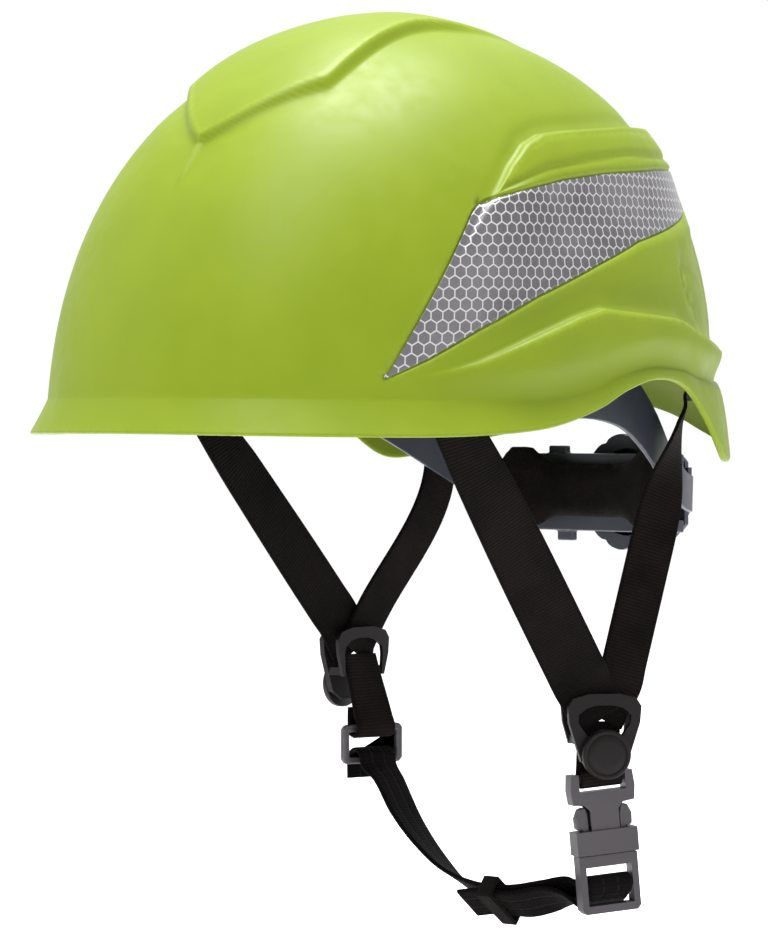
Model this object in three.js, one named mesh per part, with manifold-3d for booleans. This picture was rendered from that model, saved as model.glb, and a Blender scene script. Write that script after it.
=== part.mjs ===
// Arborist helmet with ratchet suspension and four-point chin harness.
// Units are millimetres. The wearer faces -Y, the wearer's left is +X, +Z is up.
// Z = 0 is the bottom edge of the front brim and X = 0 is the plane of symmetry.
import * as THREE from 'three';
import Module from 'manifold-3d';

const wasm = await Module();
wasm.setup();

const DEG = Math.PI / 180;

// ---- driving dimensions -------------------------------------------------

const SHELL = {
  halfLength: 129.5,
  halfWidth: 102.5,
  boxiness: 2.35,
  low: -2,
  top: 149.5,
  rise: 2.45,
  lean: 11,
  wall: 2.6,
  columns: 96,
  rows: 20,
  innerRows: 9,
};
// Height of the bottom edge at angles counted from the nose round to the nape.
const RIM = [
  [0, 0], [50, -1], [65, 0], [77, 2.5], [90, 9], [98, 15], [108, 19], [118, 16],
  [126, 5], [135, -10], [142, -10], [150, -5], [160, 0], [170, 7], [180, 11],
];
// The flange round the edge at the same angles: how tall it is, how far it stands out
// and how it curves (1 is a straight flare, less turns down sooner).
const FLANGE_TALL = [[0, 12], [60, 11.5], [80, 8], [95, 5], [115, 4.5], [126, 14], [135, 27], [150, 24], [165, 14], [180, 12]];
const FLANGE_OUT = [[0, 6.3], [60, 6.3], [80, 5], [95, 3.4], [115, 3], [126, 4.5], [135, 6.2], [180, 6.2]];
const FLANGE_BEND = [[0, 1.1], [100, 1], [135, 0.4], [180, 0.6]];
const RIDGE = { tip: -93, shoulder: -64, halfWidth: 35, waist: 27, height: 4, fadeFrom: -15, fadeTo: 56, soft: 4 };
const STICKER = {
  lift: 0.5,
  thick: 0.5,
  lower: [[45, 18], [53, 25], [63, 35], [77, 47], [97, 59], [112, 68], [144, 81]],
  upper: [[45, 19], [63, 76], [71, 81], [91, 88], [106, 91], [144, 95]],
  columns: 20,
};
const BAND = { halfLength: 95, halfWidth: 76, boxiness: 2.2, centreY: 4, thick: 1.8, low: 10, high: 38, end: 114 };
const KEY = { width: 22, deep: 6, tall: 24, angles: [35, 90, 146], z: 34 };
const CROWN = { width: 20, thick: 1.3, tops: [112, 115, 118] };
const ANCHOR = {
  front: { x: 63, y: -32, turn: 82 },
  rear: { x: 66, y: 98, turn: 130 },
  z: 12,
  pin: 1.5,
  clear: 1.1,
};
const WEB = { thick: 1.4, front: 22, rear: 17 };
const NAPE = { y: 34, z: 18, x: 71.5, unitZ: -25, padY: 115.5, houseY: 127 };
const PINION = { pitch: 4.5, outer: 4.95, root: 3.3, teeth: 9 };
const RACK = { reach: 20, outer: 40, tall: 5, thick: 2.2 };
const KNOB = { radius: 23, near: 136.4, far: 149 };

// Three local frames: the left divider, the buckle on the left and the parts on the right.
const LEFT = { x: 65, y: 48, z: -111, turn: 58 };
const BUCKLE = { x: 60.8, y: 50.6, z: -127.5, turn: 62, tilt: 5 };
const RIGHT = { x: -65, y: 48, z: -91, turn: -90 };
const RING = { x: -53, y: 48, z: -115, turn: -100 };

const COLOURS = {
  shell: 0x9cb833,
  reflective: 0x9a989a,
  greyPlastic: 0x57525a,
  bluePlastic: 0x3a3d45,
  webbing: 0x18140f,
  pad: 0x130e0b,
  cap: 0x2a2423,
  metal: 0x8d8f92,
};

const assembly = new THREE.Group();
assembly.name = 'arborist_helmet';

// ---- small helpers ------------------------------------------------------

function add(name, geometry, colour) {
  const material = new THREE.MeshStandardMaterial({ color: colour, roughness: 0.6 });
  const mesh = new THREE.Mesh(geometry, material);
  mesh.name = name;
  assembly.add(mesh);
}

function toManifold(geometry) {
  const source = geometry.index ? geometry.toNonIndexed() : geometry;
  const points = source.attributes.position;
  const seen = new Map();
  const vertices = [];
  const corners = [];
  for (let i = 0; i < points.count; i += 1) {
    const p = [points.getX(i), points.getY(i), points.getZ(i)];
    const key = p.map((v) => Math.round(v * 2e4)).join(',');
    if (!seen.has(key)) {
      seen.set(key, seen.size);
      vertices.push(...p);
    }
    corners.push(seen.get(key));
  }
  const kept = [];
  for (let i = 0; i < corners.length; i += 3) {
    const [a, b, c] = corners.slice(i, i + 3);
    if (a !== b && b !== c && c !== a) kept.push(a, b, c);
  }
  const mesh = new wasm.Mesh({
    numProp: 3,
    vertProperties: new Float32Array(vertices),
    triVerts: new Uint32Array(kept),
  });
  return new wasm.Manifold(mesh);
}

function toGeometry(solid) {
  const mesh = solid.getMesh();
  const geometry = new THREE.BufferGeometry();
  geometry.setAttribute('position', new THREE.BufferAttribute(new Float32Array(mesh.vertProperties), 3));
  geometry.setIndex(Array.from(mesh.triVerts));
  geometry.computeVertexNormals();
  return geometry;
}

function block(centre, size) {
  const geometry = new THREE.BoxGeometry(size[0], size[1], size[2]);
  geometry.translate(centre[0], centre[1], centre[2]);
  return toManifold(geometry);
}

// A round bar between two points.
function rod(from, to, radius, sides = 20) {
  const a = new THREE.Vector3(...from);
  const b = new THREE.Vector3(...to);
  const axis = b.clone().sub(a);
  const geometry = new THREE.CylinderGeometry(radius, radius, axis.length(), sides);
  const spin = new THREE.Quaternion().setFromUnitVectors(new THREE.Vector3(0, 1, 0), axis.clone().normalize());
  geometry.applyQuaternion(spin);
  const middle = a.add(b).multiplyScalar(0.5);
  geometry.translate(middle.x, middle.y, middle.z);
  return toManifold(geometry);
}

// A flat plate drawn in the X-Z plane and given its thickness along Y.
function plate(outline, yFrom, yTo, holes = []) {
  const shape = new THREE.Shape(outline.map((p) => new THREE.Vector2(p[0], p[1])));
  for (const hole of holes) shape.holes.push(new THREE.Path(hole.map((p) => new THREE.Vector2(p[0], p[1]))));
  const geometry = new THREE.ExtrudeGeometry(shape, { depth: yTo - yFrom, bevelEnabled: false, curveSegments: 8 });
  geometry.rotateX(Math.PI / 2);
  geometry.translate(0, yTo, 0);
  return toManifold(geometry);
}

function mirrored(outline) {
  const other = outline.map((p) => [-p[0], p[1]]).reverse();
  return outline.concat(other);
}

function circle(x, z, radius, count) {
  const points = [];
  for (let i = 0; i < count; i += 1) {
    const t = (2 * Math.PI * i) / count;
    points.push([x + radius * Math.cos(t), z + radius * Math.sin(t)]);
  }
  return points;
}

function smooth(from, to, value) {
  const t = Math.min(1, Math.max(0, (value - from) / (to - from)));
  return t * t * (3 - 2 * t);
}

// Smooth curve through a table of [position, value] pairs.
function curve(table, position) {
  let i = 0;
  while (i < table.length - 2 && position > table[i + 1][0]) i += 1;
  const [x0, y0] = table[i];
  const [x1, y1] = table[i + 1];
  const before = table[Math.max(0, i - 1)];
  const after = table[Math.min(table.length - 1, i + 2)];
  const span = x1 - x0;
  const t = Math.min(1, Math.max(0, (position - x0) / span));
  const slope0 = i > 0 ? (y1 - before[1]) / (x1 - before[0]) : 0;
  const slope1 = i < table.length - 2 ? (after[1] - y0) / (after[0] - x0) : 0;
  const a = 2 * t ** 3 - 3 * t * t + 1;
  const b = t ** 3 - 2 * t * t + t;
  const c = -2 * t ** 3 + 3 * t * t;
  const d = t ** 3 - t * t;
  return a * y0 + b * span * slope0 + c * y1 + d * span * slope1;
}

function straight(table, position) {
  let i = 0;
  while (i < table.length - 2 && position > table[i + 1][0]) i += 1;
  const t = (position - table[i][0]) / (table[i + 1][0] - table[i][0]);
  return table[i][1] + t * (table[i + 1][1] - table[i][1]);
}

function signedVolume(position, index) {
  const corner = (i) => new THREE.Vector3().fromArray(position, index[i] * 3);
  let total = 0;
  for (let i = 0; i < index.length; i += 3) total += corner(i).dot(corner(i + 1).cross(corner(i + 2)));
  return total / 6;
}

// Rings of points joined into one closed skin that faces outwards; the first and last
// ring are filled.
function skin(rings) {
  const count = rings[0].length;
  const position = rings.flat().flat();
  const index = [];
  for (let r = 0; r < rings.length - 1; r += 1) {
    for (let i = 0; i < count; i += 1) {
      const j = (i + 1) % count;
      const a = r * count + i;
      const b = r * count + j;
      index.push(a, b, a + count, b, b + count, a + count);
    }
  }
  const last = (rings.length - 1) * count;
  for (let i = 1; i < count - 1; i += 1) {
    index.push(0, i + 1, i);
    index.push(last, last + i, last + i + 1);
  }
  const geometry = new THREE.BufferGeometry();
  geometry.setAttribute('position', new THREE.Float32BufferAttribute(position, 3));
  geometry.setIndex(signedVolume(position, index) < 0 ? index.reverse() : index);
  geometry.computeVertexNormals();
  return geometry;
}

// A strap: a flat section carried along centre points. `across` is the width
// direction at each point. It is squared up to the path by `square`, from 0 to 1:
// a turn round a pin keeps the pin's own direction, so that its edges don't cross.
function strap(points, across, width, thick, square = []) {
  const rings = [];
  const path = points.map((p) => new THREE.Vector3(...p));
  for (let i = 0; i < path.length; i += 1) {
    const before = path[Math.max(0, i - 1)];
    const after = path[Math.min(path.length - 1, i + 1)];
    const along = after.clone().sub(before).normalize();
    const side = new THREE.Vector3(...across[i]);
    side.addScaledVector(along, -side.dot(along) * (square[i] ?? 1)).normalize();
    const out = along.clone().cross(side).normalize();
    const ring = [];
    for (const [s, t] of [[-1, -1], [1, -1], [1, 1], [-1, 1]]) {
      const p = path[i].clone().addScaledVector(side, (s * width) / 2).addScaledVector(out, (t * thick) / 2);
      ring.push([p.x, p.y, p.z]);
    }
    rings.push(ring);
  }
  return skin(rings);
}

function mix(a, b, t) {
  return a.map((v, i) => v + (b[i] - v) * t);
}

// Direction in plan: 0 degrees is +X and 90 degrees is +Y.
function heading(degrees) {
  return [Math.cos(degrees * DEG), Math.sin(degrees * DEG), 0];
}

// Moves a part built around the origin to its place: tilt about Y, turn about Z, then shift.
function placed(solid, spot) {
  return solid.rotate([0, -(spot.tilt || 0), 0]).rotate([0, 0, spot.turn]).translate([spot.x, spot.y, spot.z]);
}

// The same move for one point: u across, n out towards the viewer, z up.
function atSpot(spot, u, n, z) {
  const tilt = (spot.tilt || 0) * DEG;
  const ut = u * Math.cos(tilt) - z * Math.sin(tilt);
  const zt = u * Math.sin(tilt) + z * Math.cos(tilt);
  const [c, s] = heading(spot.turn);
  return [spot.x + ut * c + n * s, spot.y + ut * s - n * c, spot.z + zt];
}

function acrossSpot(spot) {
  const a = atSpot(spot, 0, 0, 0);
  const b = atSpot(spot, 1, 0, 0);
  return b.map((v, i) => v - a[i]);
}

// ---- shell --------------------------------------------------------------

function domeRadius(angle) {
  const { halfLength, halfWidth, boxiness } = SHELL;
  const c = Math.abs(Math.cos(angle)) / halfLength;
  const s = Math.abs(Math.sin(angle)) / halfWidth;
  return (c ** boxiness + s ** boxiness) ** (-1 / boxiness);
}

function rimHeight(angle) {
  return curve(RIM, Math.abs(angle) / DEG);
}

function domePoint(angle, z, inset = 0) {
  const u = Math.min(1, Math.max(0, (z - SHELL.low) / (SHELL.top - SHELL.low)));
  const reach = Math.sqrt(Math.max(0, 1 - u ** SHELL.rise));
  const r = domeRadius(angle) * reach - inset;
  return new THREE.Vector3(r * Math.sin(angle), -r * Math.cos(angle) + SHELL.lean * u, z);
}

function domeNormal(angle, z) {
  const p = domePoint(angle, z);
  const side = domePoint(angle + 0.01, z).sub(p);
  const up = domePoint(angle, z + 0.2).sub(p);
  return side.cross(up).normalize();
}

// The raised tongue over the crown: a rounded V at the front that narrows towards the
// back and melts away behind the crown.
function crownRidge(x, y) {
  const opening = Math.min(1, Math.max(0, (y - RIDGE.tip) / (RIDGE.shoulder - RIDGE.tip)));
  const narrowing = smooth(RIDGE.shoulder, 0, y) * (RIDGE.halfWidth - RIDGE.waist);
  const half = RIDGE.halfWidth * opening ** 0.7 - narrowing;
  const edge = smooth(half + RIDGE.soft / 2, half - RIDGE.soft / 2, Math.abs(x));
  return RIDGE.height * edge * smooth(RIDGE.fadeTo, RIDGE.fadeFrom, y);
}

function outerPoint(angle, z) {
  const p = domePoint(angle, z);
  if (z < 80) return p;
  return p.addScaledVector(domeNormal(angle, z), crownRidge(p.x, p.y));
}

function rowHeight(angle, row, rows, from) {
  const u0 = Math.max(0, (from - SHELL.low) / (SHELL.top - SHELL.low));
  const start = Math.asin(u0 ** (SHELL.rise / 2));
  const swing = start + (Math.PI / 2 - start) * (row / rows);
  return SHELL.low + (SHELL.top - SHELL.low) * Math.sin(swing) ** (2 / SHELL.rise);
}

function shellRing(make) {
  const ring = [];
  for (let i = 0; i < SHELL.columns; i += 1) {
    const angle = ((i / SHELL.columns) * 2 - 1) * Math.PI;
    const p = make(angle);
    ring.push([p.x, p.y, p.z]);
  }
  return ring;
}

function creaseHeight(angle) {
  return rimHeight(angle) + curve(FLANGE_TALL, Math.abs(angle) / DEG);
}

// A point on the flange: `down` runs from 0 at the crease to 1 at the bottom edge.
function flangePoint(angle, down, inset = 0) {
  const degrees = Math.abs(angle) / DEG;
  const crease = creaseHeight(angle);
  const p = domePoint(angle, crease);
  const out = curve(FLANGE_OUT, degrees) * down ** curve(FLANGE_BEND, degrees) - inset;
  p.x += out * Math.sin(angle);
  p.y -= out * Math.cos(angle);
  p.z = crease + (rimHeight(angle) - crease) * down;
  return p;
}

function shell() {
  const rings = [];
  for (let row = SHELL.rows - 1; row >= 0; row -= 1) {
    rings.push(shellRing((a) => outerPoint(a, rowHeight(a, row, SHELL.rows, creaseHeight(a)))));
  }
  for (const down of [0.15, 0.45, 0.8, 1]) rings.push(shellRing((a) => flangePoint(a, down)));
  for (const down of [1, 0.6, 0.2]) rings.push(shellRing((a) => flangePoint(a, down, SHELL.wall)));
  for (let row = 0; row < SHELL.innerRows; row += 1) {
    rings.push(shellRing((a) => {
      const z = rowHeight(a, row, SHELL.innerRows, creaseHeight(a) + 1);
      return domePoint(a, z).addScaledVector(domeNormal(a, z), -SHELL.wall);
    }));
  }
  return skin(rings);
}

add('shell', shell(), COLOURS.shell);

// ---- reflective stickers ------------------------------------------------

function sticker(side) {
  const rings = [];
  const first = STICKER.lower[0][0];
  const last = STICKER.lower.at(-1)[0];
  for (let i = 0; i <= STICKER.columns; i += 1) {
    const degrees = first + ((last - first) * i) / STICKER.columns;
    const low = straight(STICKER.lower, degrees);
    const high = straight(STICKER.upper, degrees);
    const ring = [];
    for (const [t, depth] of [[0, 0], [0.25, 0], [0.5, 0], [0.75, 0], [1, 0], [1, 1], [0.75, 1], [0.5, 1], [0.25, 1], [0, 1]]) {
      const z = low + (high - low) * t;
      const p = domePoint(degrees * DEG, z);
      p.addScaledVector(domeNormal(degrees * DEG, z), STICKER.lift + STICKER.thick * depth);
      ring.push([side * p.x, p.y, p.z]);
    }
    rings.push(ring);
  }
  return skin(rings);
}

add('sticker_left', sticker(1), COLOURS.reflective);
add('sticker_right', sticker(-1), COLOURS.reflective);

// ---- headband, brow pad and suspension ----------------------------------

function bandPoint(degrees, inset) {
  const angle = degrees * DEG;
  const c = Math.abs(Math.cos(angle)) / (BAND.halfLength - inset);
  const s = Math.abs(Math.sin(angle)) / (BAND.halfWidth - inset);
  const r = (c ** BAND.boxiness + s ** BAND.boxiness) ** (-1 / BAND.boxiness);
  return [r * Math.sin(angle), BAND.centreY - r * Math.cos(angle)];
}

// A wall that follows the headband line between two angles.
function bandWall(from, to, steps, insetOut, insetIn, low, high) {
  const rings = [];
  for (let i = 0; i <= steps; i += 1) {
    const degrees = from + ((to - from) * i) / steps;
    const outer = bandPoint(degrees, insetOut);
    const inner = bandPoint(degrees, insetIn);
    rings.push([[...outer, low], [...outer, high], [...inner, high], [...inner, low]]);
  }
  return skin(rings);
}

const studHole = (side, radius) => rod([side * 55, NAPE.y, NAPE.z], [side * 85, NAPE.y, NAPE.z], radius);

function headband() {
  let body = toManifold(bandWall(-BAND.end, BAND.end, 56, 0, BAND.thick, BAND.low, BAND.high));
  body = body.subtract(studHole(1, 3.4)).subtract(studHole(-1, 3.4));
  return toGeometry(body);
}

add('headband', headband(), COLOURS.bluePlastic);
add('brow_pad', bandWall(-45, 45, 18, BAND.thick + 0.4, BAND.thick + 4.4, 8, 40), COLOURS.pad);

// Each key plugs into the inside of the shell and reaches in to the headband.
function key(degrees) {
  const wall = domePoint(degrees * DEG, KEY.z + KEY.tall / 2, SHELL.wall + 2.2);
  const band = bandPoint(degrees, 0);
  const inward = Math.hypot(wall.x, wall.y) - Math.hypot(band[0], band[1]);
  let body = block([0, -KEY.deep / 2, 0], [KEY.width, KEY.deep, KEY.tall]);
  body = body.add(block([0, -(inward - 2) / 2, -6], [12, inward - 2, 3]));
  body = body.subtract(block([0, -KEY.deep / 2, 6], [KEY.width - 4, KEY.deep + 2, 2.4]));
  const out = domeNormal(degrees * DEG, KEY.z);
  const turn = Math.atan2(out.y, out.x) / DEG - 90;
  return toGeometry(body.rotate([0, 0, turn]).translate([wall.x, wall.y, KEY.z]));
}

const KEY_NAMES = ['front', 'side', 'rear'];
KEY.angles.forEach((degrees, i) => {
  add(`key_${KEY_NAMES[i]}_left`, key(degrees), COLOURS.bluePlastic);
  add(`key_${KEY_NAMES[i]}_right`, key(-degrees), COLOURS.bluePlastic);
});

function crownStrap(from, to, top) {
  const steps = 26;
  const ends = [from, to].map((degrees) => {
    const wall = domePoint(degrees * DEG, KEY.z + KEY.tall / 2, SHELL.wall + 2.2 + KEY.deep + 5);
    return [wall.x, wall.y];
  });
  const dx = ends[1][0] - ends[0][0];
  const dy = ends[1][1] - ends[0][1];
  const length = Math.hypot(dx, dy);
  const across = [-dy / length, dx / length, 0];
  const points = [];
  for (let i = 0; i <= steps; i += 1) {
    const swing = -Math.PI / 2 + (Math.PI * i) / steps;
    const s = Math.sign(swing) * Math.abs(Math.sin(swing)) ** 0.85;
    const z = KEY.z + 2 + (top - KEY.z - 2) * Math.max(0, Math.cos(swing)) ** 0.85;
    points.push([ends[0][0] + (dx * (s + 1)) / 2, ends[0][1] + (dy * (s + 1)) / 2, z]);
  }
  return strap(points, points.map(() => across), CROWN.width, CROWN.thick);
}

const [FRONT_KEY, SIDE_KEY, REAR_KEY] = KEY.angles;
add('crown_strap_a', crownStrap(FRONT_KEY, -REAR_KEY, CROWN.tops[0]), COLOURS.webbing);
add('crown_strap_b', crownStrap(-FRONT_KEY, REAR_KEY, CROWN.tops[1]), COLOURS.webbing);
add('crown_strap_c', crownStrap(SIDE_KEY, -SIDE_KEY, CROWN.tops[2]), COLOURS.webbing);

// ---- nape unit ----------------------------------------------------------

// The grey arms run from the pivot studs back and down to the ends of the racks.
const ARM_ROUTE = [
  [71.3, 20, 17], [69.4, 40, 15.5], [66, 60, 10], [60.5, 80, -2], [53.5, 98, -15], [48.5, 113, -23], [42, 125, -25],
];
const armCurve = new THREE.CatmullRomCurve3(ARM_ROUTE.map((p) => new THREE.Vector3(...p)));

function armPath(side, t) {
  const p = armCurve.getPoint(t);
  return [side * p.x, p.y, p.z];
}

function napeArm(side) {
  const rings = [];
  const steps = 18;
  for (let i = 0; i <= steps; i += 1) {
    const t = i / steps;
    const here = new THREE.Vector3(...armPath(side, t));
    const along = new THREE.Vector3(...armPath(side, Math.min(1, t + 0.02))).sub(new THREE.Vector3(...armPath(side, Math.max(0, t - 0.02)))).normalize();
    const out = new THREE.Vector3(along.y, -along.x, 0).normalize().multiplyScalar(side);
    const up = out.clone().cross(along).normalize();
    if (up.z < 0) up.multiplyScalar(-1);
    const half = 12.5 - 5.5 * smooth(0, 0.8, t);
    const ring = [];
    for (const [a, b] of [[1, 1], [1, -1], [-1, -1], [-1, 1]]) {
      const p = here.clone().addScaledVector(up, a * half).addScaledVector(out, b * 0.9);
      ring.push([p.x, p.y, p.z]);
    }
    rings.push(ring);
  }
  const body = toManifold(skin(rings));
  return toGeometry(body.subtract(studHole(side, 3.4)));
}

function pivotStud(side) {
  const head = rod([side * 78.6, NAPE.y, NAPE.z], [side * 80.4, NAPE.y, NAPE.z], 6.5);
  const shaft = rod([side * 66.4, NAPE.y, NAPE.z], [side * 79, NAPE.y, NAPE.z], 2.8);
  const foot = rod([side * 65.4, NAPE.y, NAPE.z], [side * 67, NAPE.y, NAPE.z], 5);
  return toGeometry(head.add(shaft).add(foot));
}

for (const [name, side] of [['left', 1], ['right', -1]]) {
  add(`nape_arm_${name}`, napeArm(side), COLOURS.bluePlastic);
  add(`pivot_stud_${name}`, pivotStud(side), COLOURS.bluePlastic);
}

// A dumb-bell shaped pad: two tall lobes joined by a lower waist.
function padOutline() {
  const points = [];
  const steps = 32;
  for (let i = 0; i <= steps; i += 1) {
    const x = -46 + (92 * i) / steps;
    const lobe = Math.max(0, Math.abs(x) - 14) / 20;
    const tall = 12.5 + 5.2 * Math.sin(Math.min(1, lobe) * Math.PI * 0.5) ** 2;
    const end = Math.sqrt(Math.max(0, 1 - Math.max(0, (Math.abs(x) - 32) / 14) ** 2));
    points.push([x, tall * end]);
  }
  return points;
}

function napePad() {
  const rings = [];
  for (const [x, half] of padOutline()) {
    const tall = Math.max(half, 0.8);
    const back = NAPE.padY + 3 - (x * x) / 260;
    const front = back - 6;
    const z = NAPE.unitZ + 1;
    rings.push([
      [x, back, z - tall], [x, back, z + tall],
      [x, front + 1.5, z + tall], [x, front, z + tall * 0.85],
      [x, front, z - tall * 0.85], [x, front + 1.5, z - tall],
    ]);
  }
  return skin(rings);
}

add('nape_pad', napePad(), COLOURS.pad);

const UNIT = { half: 33, tall: 15, near: NAPE.houseY - 6, far: NAPE.houseY + 5 };

function ratchetHousing() {
  const z = NAPE.unitZ;
  let body = block([0, (UNIT.near + UNIT.far) / 2, z], [2 * UNIT.half, UNIT.far - UNIT.near, 2 * UNIT.tall]);
  body = body.subtract(block([0, NAPE.houseY + 1.6, z], [2 * UNIT.half + 4, 7.2, 20.5]));
  for (const side of [-1, 1]) {
    body = body.add(block([side * 14, UNIT.near - 1, z], [8, 2.4, 10]));
    body = body.add(block([side * 24, UNIT.near + 3, z + UNIT.tall + 1.4], [9, 3, 3.2]));
    body = body.add(block([side * 20, UNIT.near + 3, z - UNIT.tall - 1.9], [8, 3, 4.2]));
  }
  return toGeometry(body);
}

// The cover closes the back of the housing and carries the knob's bearing.
function ratchetCover() {
  const z = NAPE.unitZ;
  let body = plate(mirrored([[31, z - 14], [33, z - 12], [33, z + 12], [31, z + 14]]), UNIT.far + 0.4, UNIT.far + 2.6);
  body = body.subtract(rod([0, 120, z], [0, 150, z], 5.6, 32));
  return toGeometry(body);
}

add('ratchet_housing', ratchetHousing(), COLOURS.bluePlastic);
add('ratchet_cover', ratchetCover(), COLOURS.bluePlastic);

function gearOutline() {
  const points = [];
  for (let i = 0; i < PINION.teeth; i += 1) {
    const centre = (i / PINION.teeth) * 360;
    for (const [offset, radius] of [[-12, PINION.root], [-4, PINION.outer], [4, PINION.outer], [12, PINION.root]]) {
      const a = (centre + offset) * DEG;
      points.push([radius * Math.sin(a), NAPE.unitZ + radius * Math.cos(a)]);
    }
  }
  return points.reverse();
}

function pinion() {
  const gear = plate(gearOutline(), NAPE.houseY - 1.4, NAPE.houseY + 1.4);
  const shaft = rod([0, NAPE.houseY - 1.5, NAPE.unitZ], [0, KNOB.near - 0.4, NAPE.unitZ], 3.1);
  return toGeometry(gear.add(shaft));
}

add('pinion', pinion(), COLOURS.metal);

// The left rack runs above the pinion and the right rack below it.
function rack(side) {
  const pitch = (2 * Math.PI * PINION.pitch) / PINION.teeth;
  const base = PINION.pitch + 0.6;
  const outline = [];
  const first = -side * RACK.reach;
  const points = [];
  const last = side * RACK.outer;
  points.push([first, base + RACK.tall], [first, base]);
  for (let k = -6; k <= 6; k += 1) {
    const centre = (side > 0 ? k + 0.5 : k) * pitch;
    if (Math.abs(centre) > RACK.reach - 1) continue;
    points.push([side * centre - side * 0.65, base]);
    points.push([side * centre - side * 0.35, PINION.pitch - 0.1]);
    points.push([side * centre + side * 0.35, PINION.pitch - 0.1]);
    points.push([side * centre + side * 0.65, base]);
  }
  points.push([last, base], [last, base + RACK.tall]);
  for (const [x, z] of points) outline.push([x, NAPE.unitZ + side * z]);
  const y = NAPE.houseY;
  return toGeometry(plate(outline, y - RACK.thick / 2, y + RACK.thick / 2));
}

add('rack_left', rack(1), COLOURS.bluePlastic);
add('rack_right', rack(-1), COLOURS.bluePlastic);

function knob() {
  const z = NAPE.unitZ;
  const outline = [];
  const lobes = 12;
  for (let i = 0; i < lobes * 6; i += 1) {
    const t = (2 * Math.PI * i) / (lobes * 6);
    const r = KNOB.radius - 1.1 * Math.max(0, Math.cos(lobes * t)) ** 2;
    outline.push([r * Math.sin(t), z + r * Math.cos(t)]);
  }
  let body = plate(outline.reverse(), KNOB.near, KNOB.far);
  body = body.subtract(rod([0, KNOB.near - 1, z], [0, KNOB.near + 7, z], 17, 36));
  body = body.add(rod([0, KNOB.near + 0.2, z], [0, KNOB.near + 8, z], 6, 24));
  body = body.subtract(rod([0, KNOB.far - 2.5, z], [0, KNOB.far + 1, z], 8.4, 32));
  return toGeometry(body);
}

function knobCap() {
  const z = NAPE.unitZ;
  return toGeometry(rod([0, KNOB.far - 2.2, z], [0, KNOB.far - 0.3, z], 8, 32));
}

// A springy ring with a nib on each side that clicks as the knob turns.
function detentSpring() {
  const z = NAPE.unitZ;
  let body = rod([0, KNOB.near - 1, z], [0, KNOB.near + 3, z], 12, 36);
  body = body.subtract(rod([0, KNOB.near - 2, z], [0, KNOB.near + 4, z], 10.4, 36));
  body = body.add(block([13.4, KNOB.near + 1, z], [4, 3, 2.4]));
  body = body.add(block([-13.4, KNOB.near + 1, z], [4, 3, 2.4]));
  return toGeometry(body);
}

add('knob', knob(), COLOURS.bluePlastic);
add('knob_cap', knobCap(), COLOURS.cap);
add('detent_spring', detentSpring(), COLOURS.metal);

// ---- chin harness -------------------------------------------------------

function anchorSpot(side, front) {
  const { x, y, turn } = front ? ANCHOR.front : ANCHOR.rear;
  return { x: side * x, y, z: ANCHOR.z, turn: side > 0 ? turn : 180 - turn };
}

// A roof with two cheeks and a pin; the webbing loops round the pin.
function hanger(side, front) {
  const width = front ? WEB.front : WEB.rear;
  const span = width + (front ? 9.6 : 5);
  let body = block([0, 0, 5.9], [span, 6, 1.8]);
  body = body.add(block([span / 2 - 0.8, 0, 2.6], [1.6, 5, 8]));
  body = body.add(block([-span / 2 + 0.8, 0, 2.6], [1.6, 5, 8]));
  body = body.add(rod([-span / 2 + 0.5, 0, 0], [span / 2 - 0.5, 0, 0], ANCHOR.pin, 16));
  return toGeometry(placed(body, anchorSpot(side, front)));
}

// One leg: a loop round the anchor pin, then a flat run that twists to face the divider.
function leg(side, front, divider, layer, waypoint) {
  const anchor = anchorSpot(side, front);
  const width = front ? WEB.front : WEB.rear;
  const wrap = ANCHOR.pin + ANCHOR.clear + WEB.thick / 2;
  const pin = heading(anchor.turn);
  const lean = front ? -1 : 1;
  const target = atSpot(divider, lean * 0.5, layer, 5);
  const entry = atSpot(divider, lean * (side > 0 ? 7 : -7) * 1, layer, 17);
  const points = [];
  const across = [];
  const square = [];
  const fall = new THREE.Vector3(...(waypoint || entry)).sub(new THREE.Vector3(anchor.x, anchor.y, anchor.z));
  const pinAxis = new THREE.Vector3(...pin);
  const down = fall.clone().addScaledVector(pinAxis, -fall.dot(pinAxis)).normalize();
  const outward = pinAxis.clone().cross(down);
  for (let i = 0; i <= 10; i += 1) {
    const a = (-55 - 250 * (i / 10)) * DEG;
    const p = new THREE.Vector3(anchor.x, anchor.y, anchor.z);
    p.addScaledVector(down, wrap * Math.cos(a)).addScaledVector(outward, wrap * Math.sin(a));
    points.push([p.x, p.y, p.z]);
    across.push(pin);
    square.push(0);
  }
  const face = heading(divider.turn);
  const facing = pin[0] * face[0] + pin[1] * face[1] < 0 ? face.map((v) => -v) : face;
  const start = points.at(-1);
  const stops = waypoint ? [start, waypoint, entry] : [start, entry];
  const line = new THREE.CatmullRomCurve3(stops.map((p) => new THREE.Vector3(...p)));
  for (let i = 1; i <= 12; i += 1) {
    points.push(line.getPoint(i / 12).toArray());
    across.push(mix(pin, facing, smooth(0, 0.9, i / 12)));
    square.push(Math.min(1, i / 4));
  }
  for (let i = 1; i <= 3; i += 1) {
    points.push(mix(entry, target, i / 3));
    across.push(facing);
  }
  return strap(points, across, width, WEB.thick, square);
}

// The right rear leg hangs in a slack bow through this point.
const FAR_BOW = [-62, 96, -14];
const SIDES = [['left', 1, LEFT], ['right', -1, RIGHT]];
for (const [name, side, divider] of SIDES) {
  add(`hanger_front_${name}`, hanger(side, true), COLOURS.bluePlastic);
  add(`hanger_rear_${name}`, hanger(side, false), COLOURS.bluePlastic);
  add(`leg_front_${name}`, leg(side, true, divider, -1.4), COLOURS.webbing);
  add(`leg_rear_${name}`, leg(side, false, divider, -3.4, side < 0 ? FAR_BOW : null), COLOURS.webbing);
}

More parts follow.
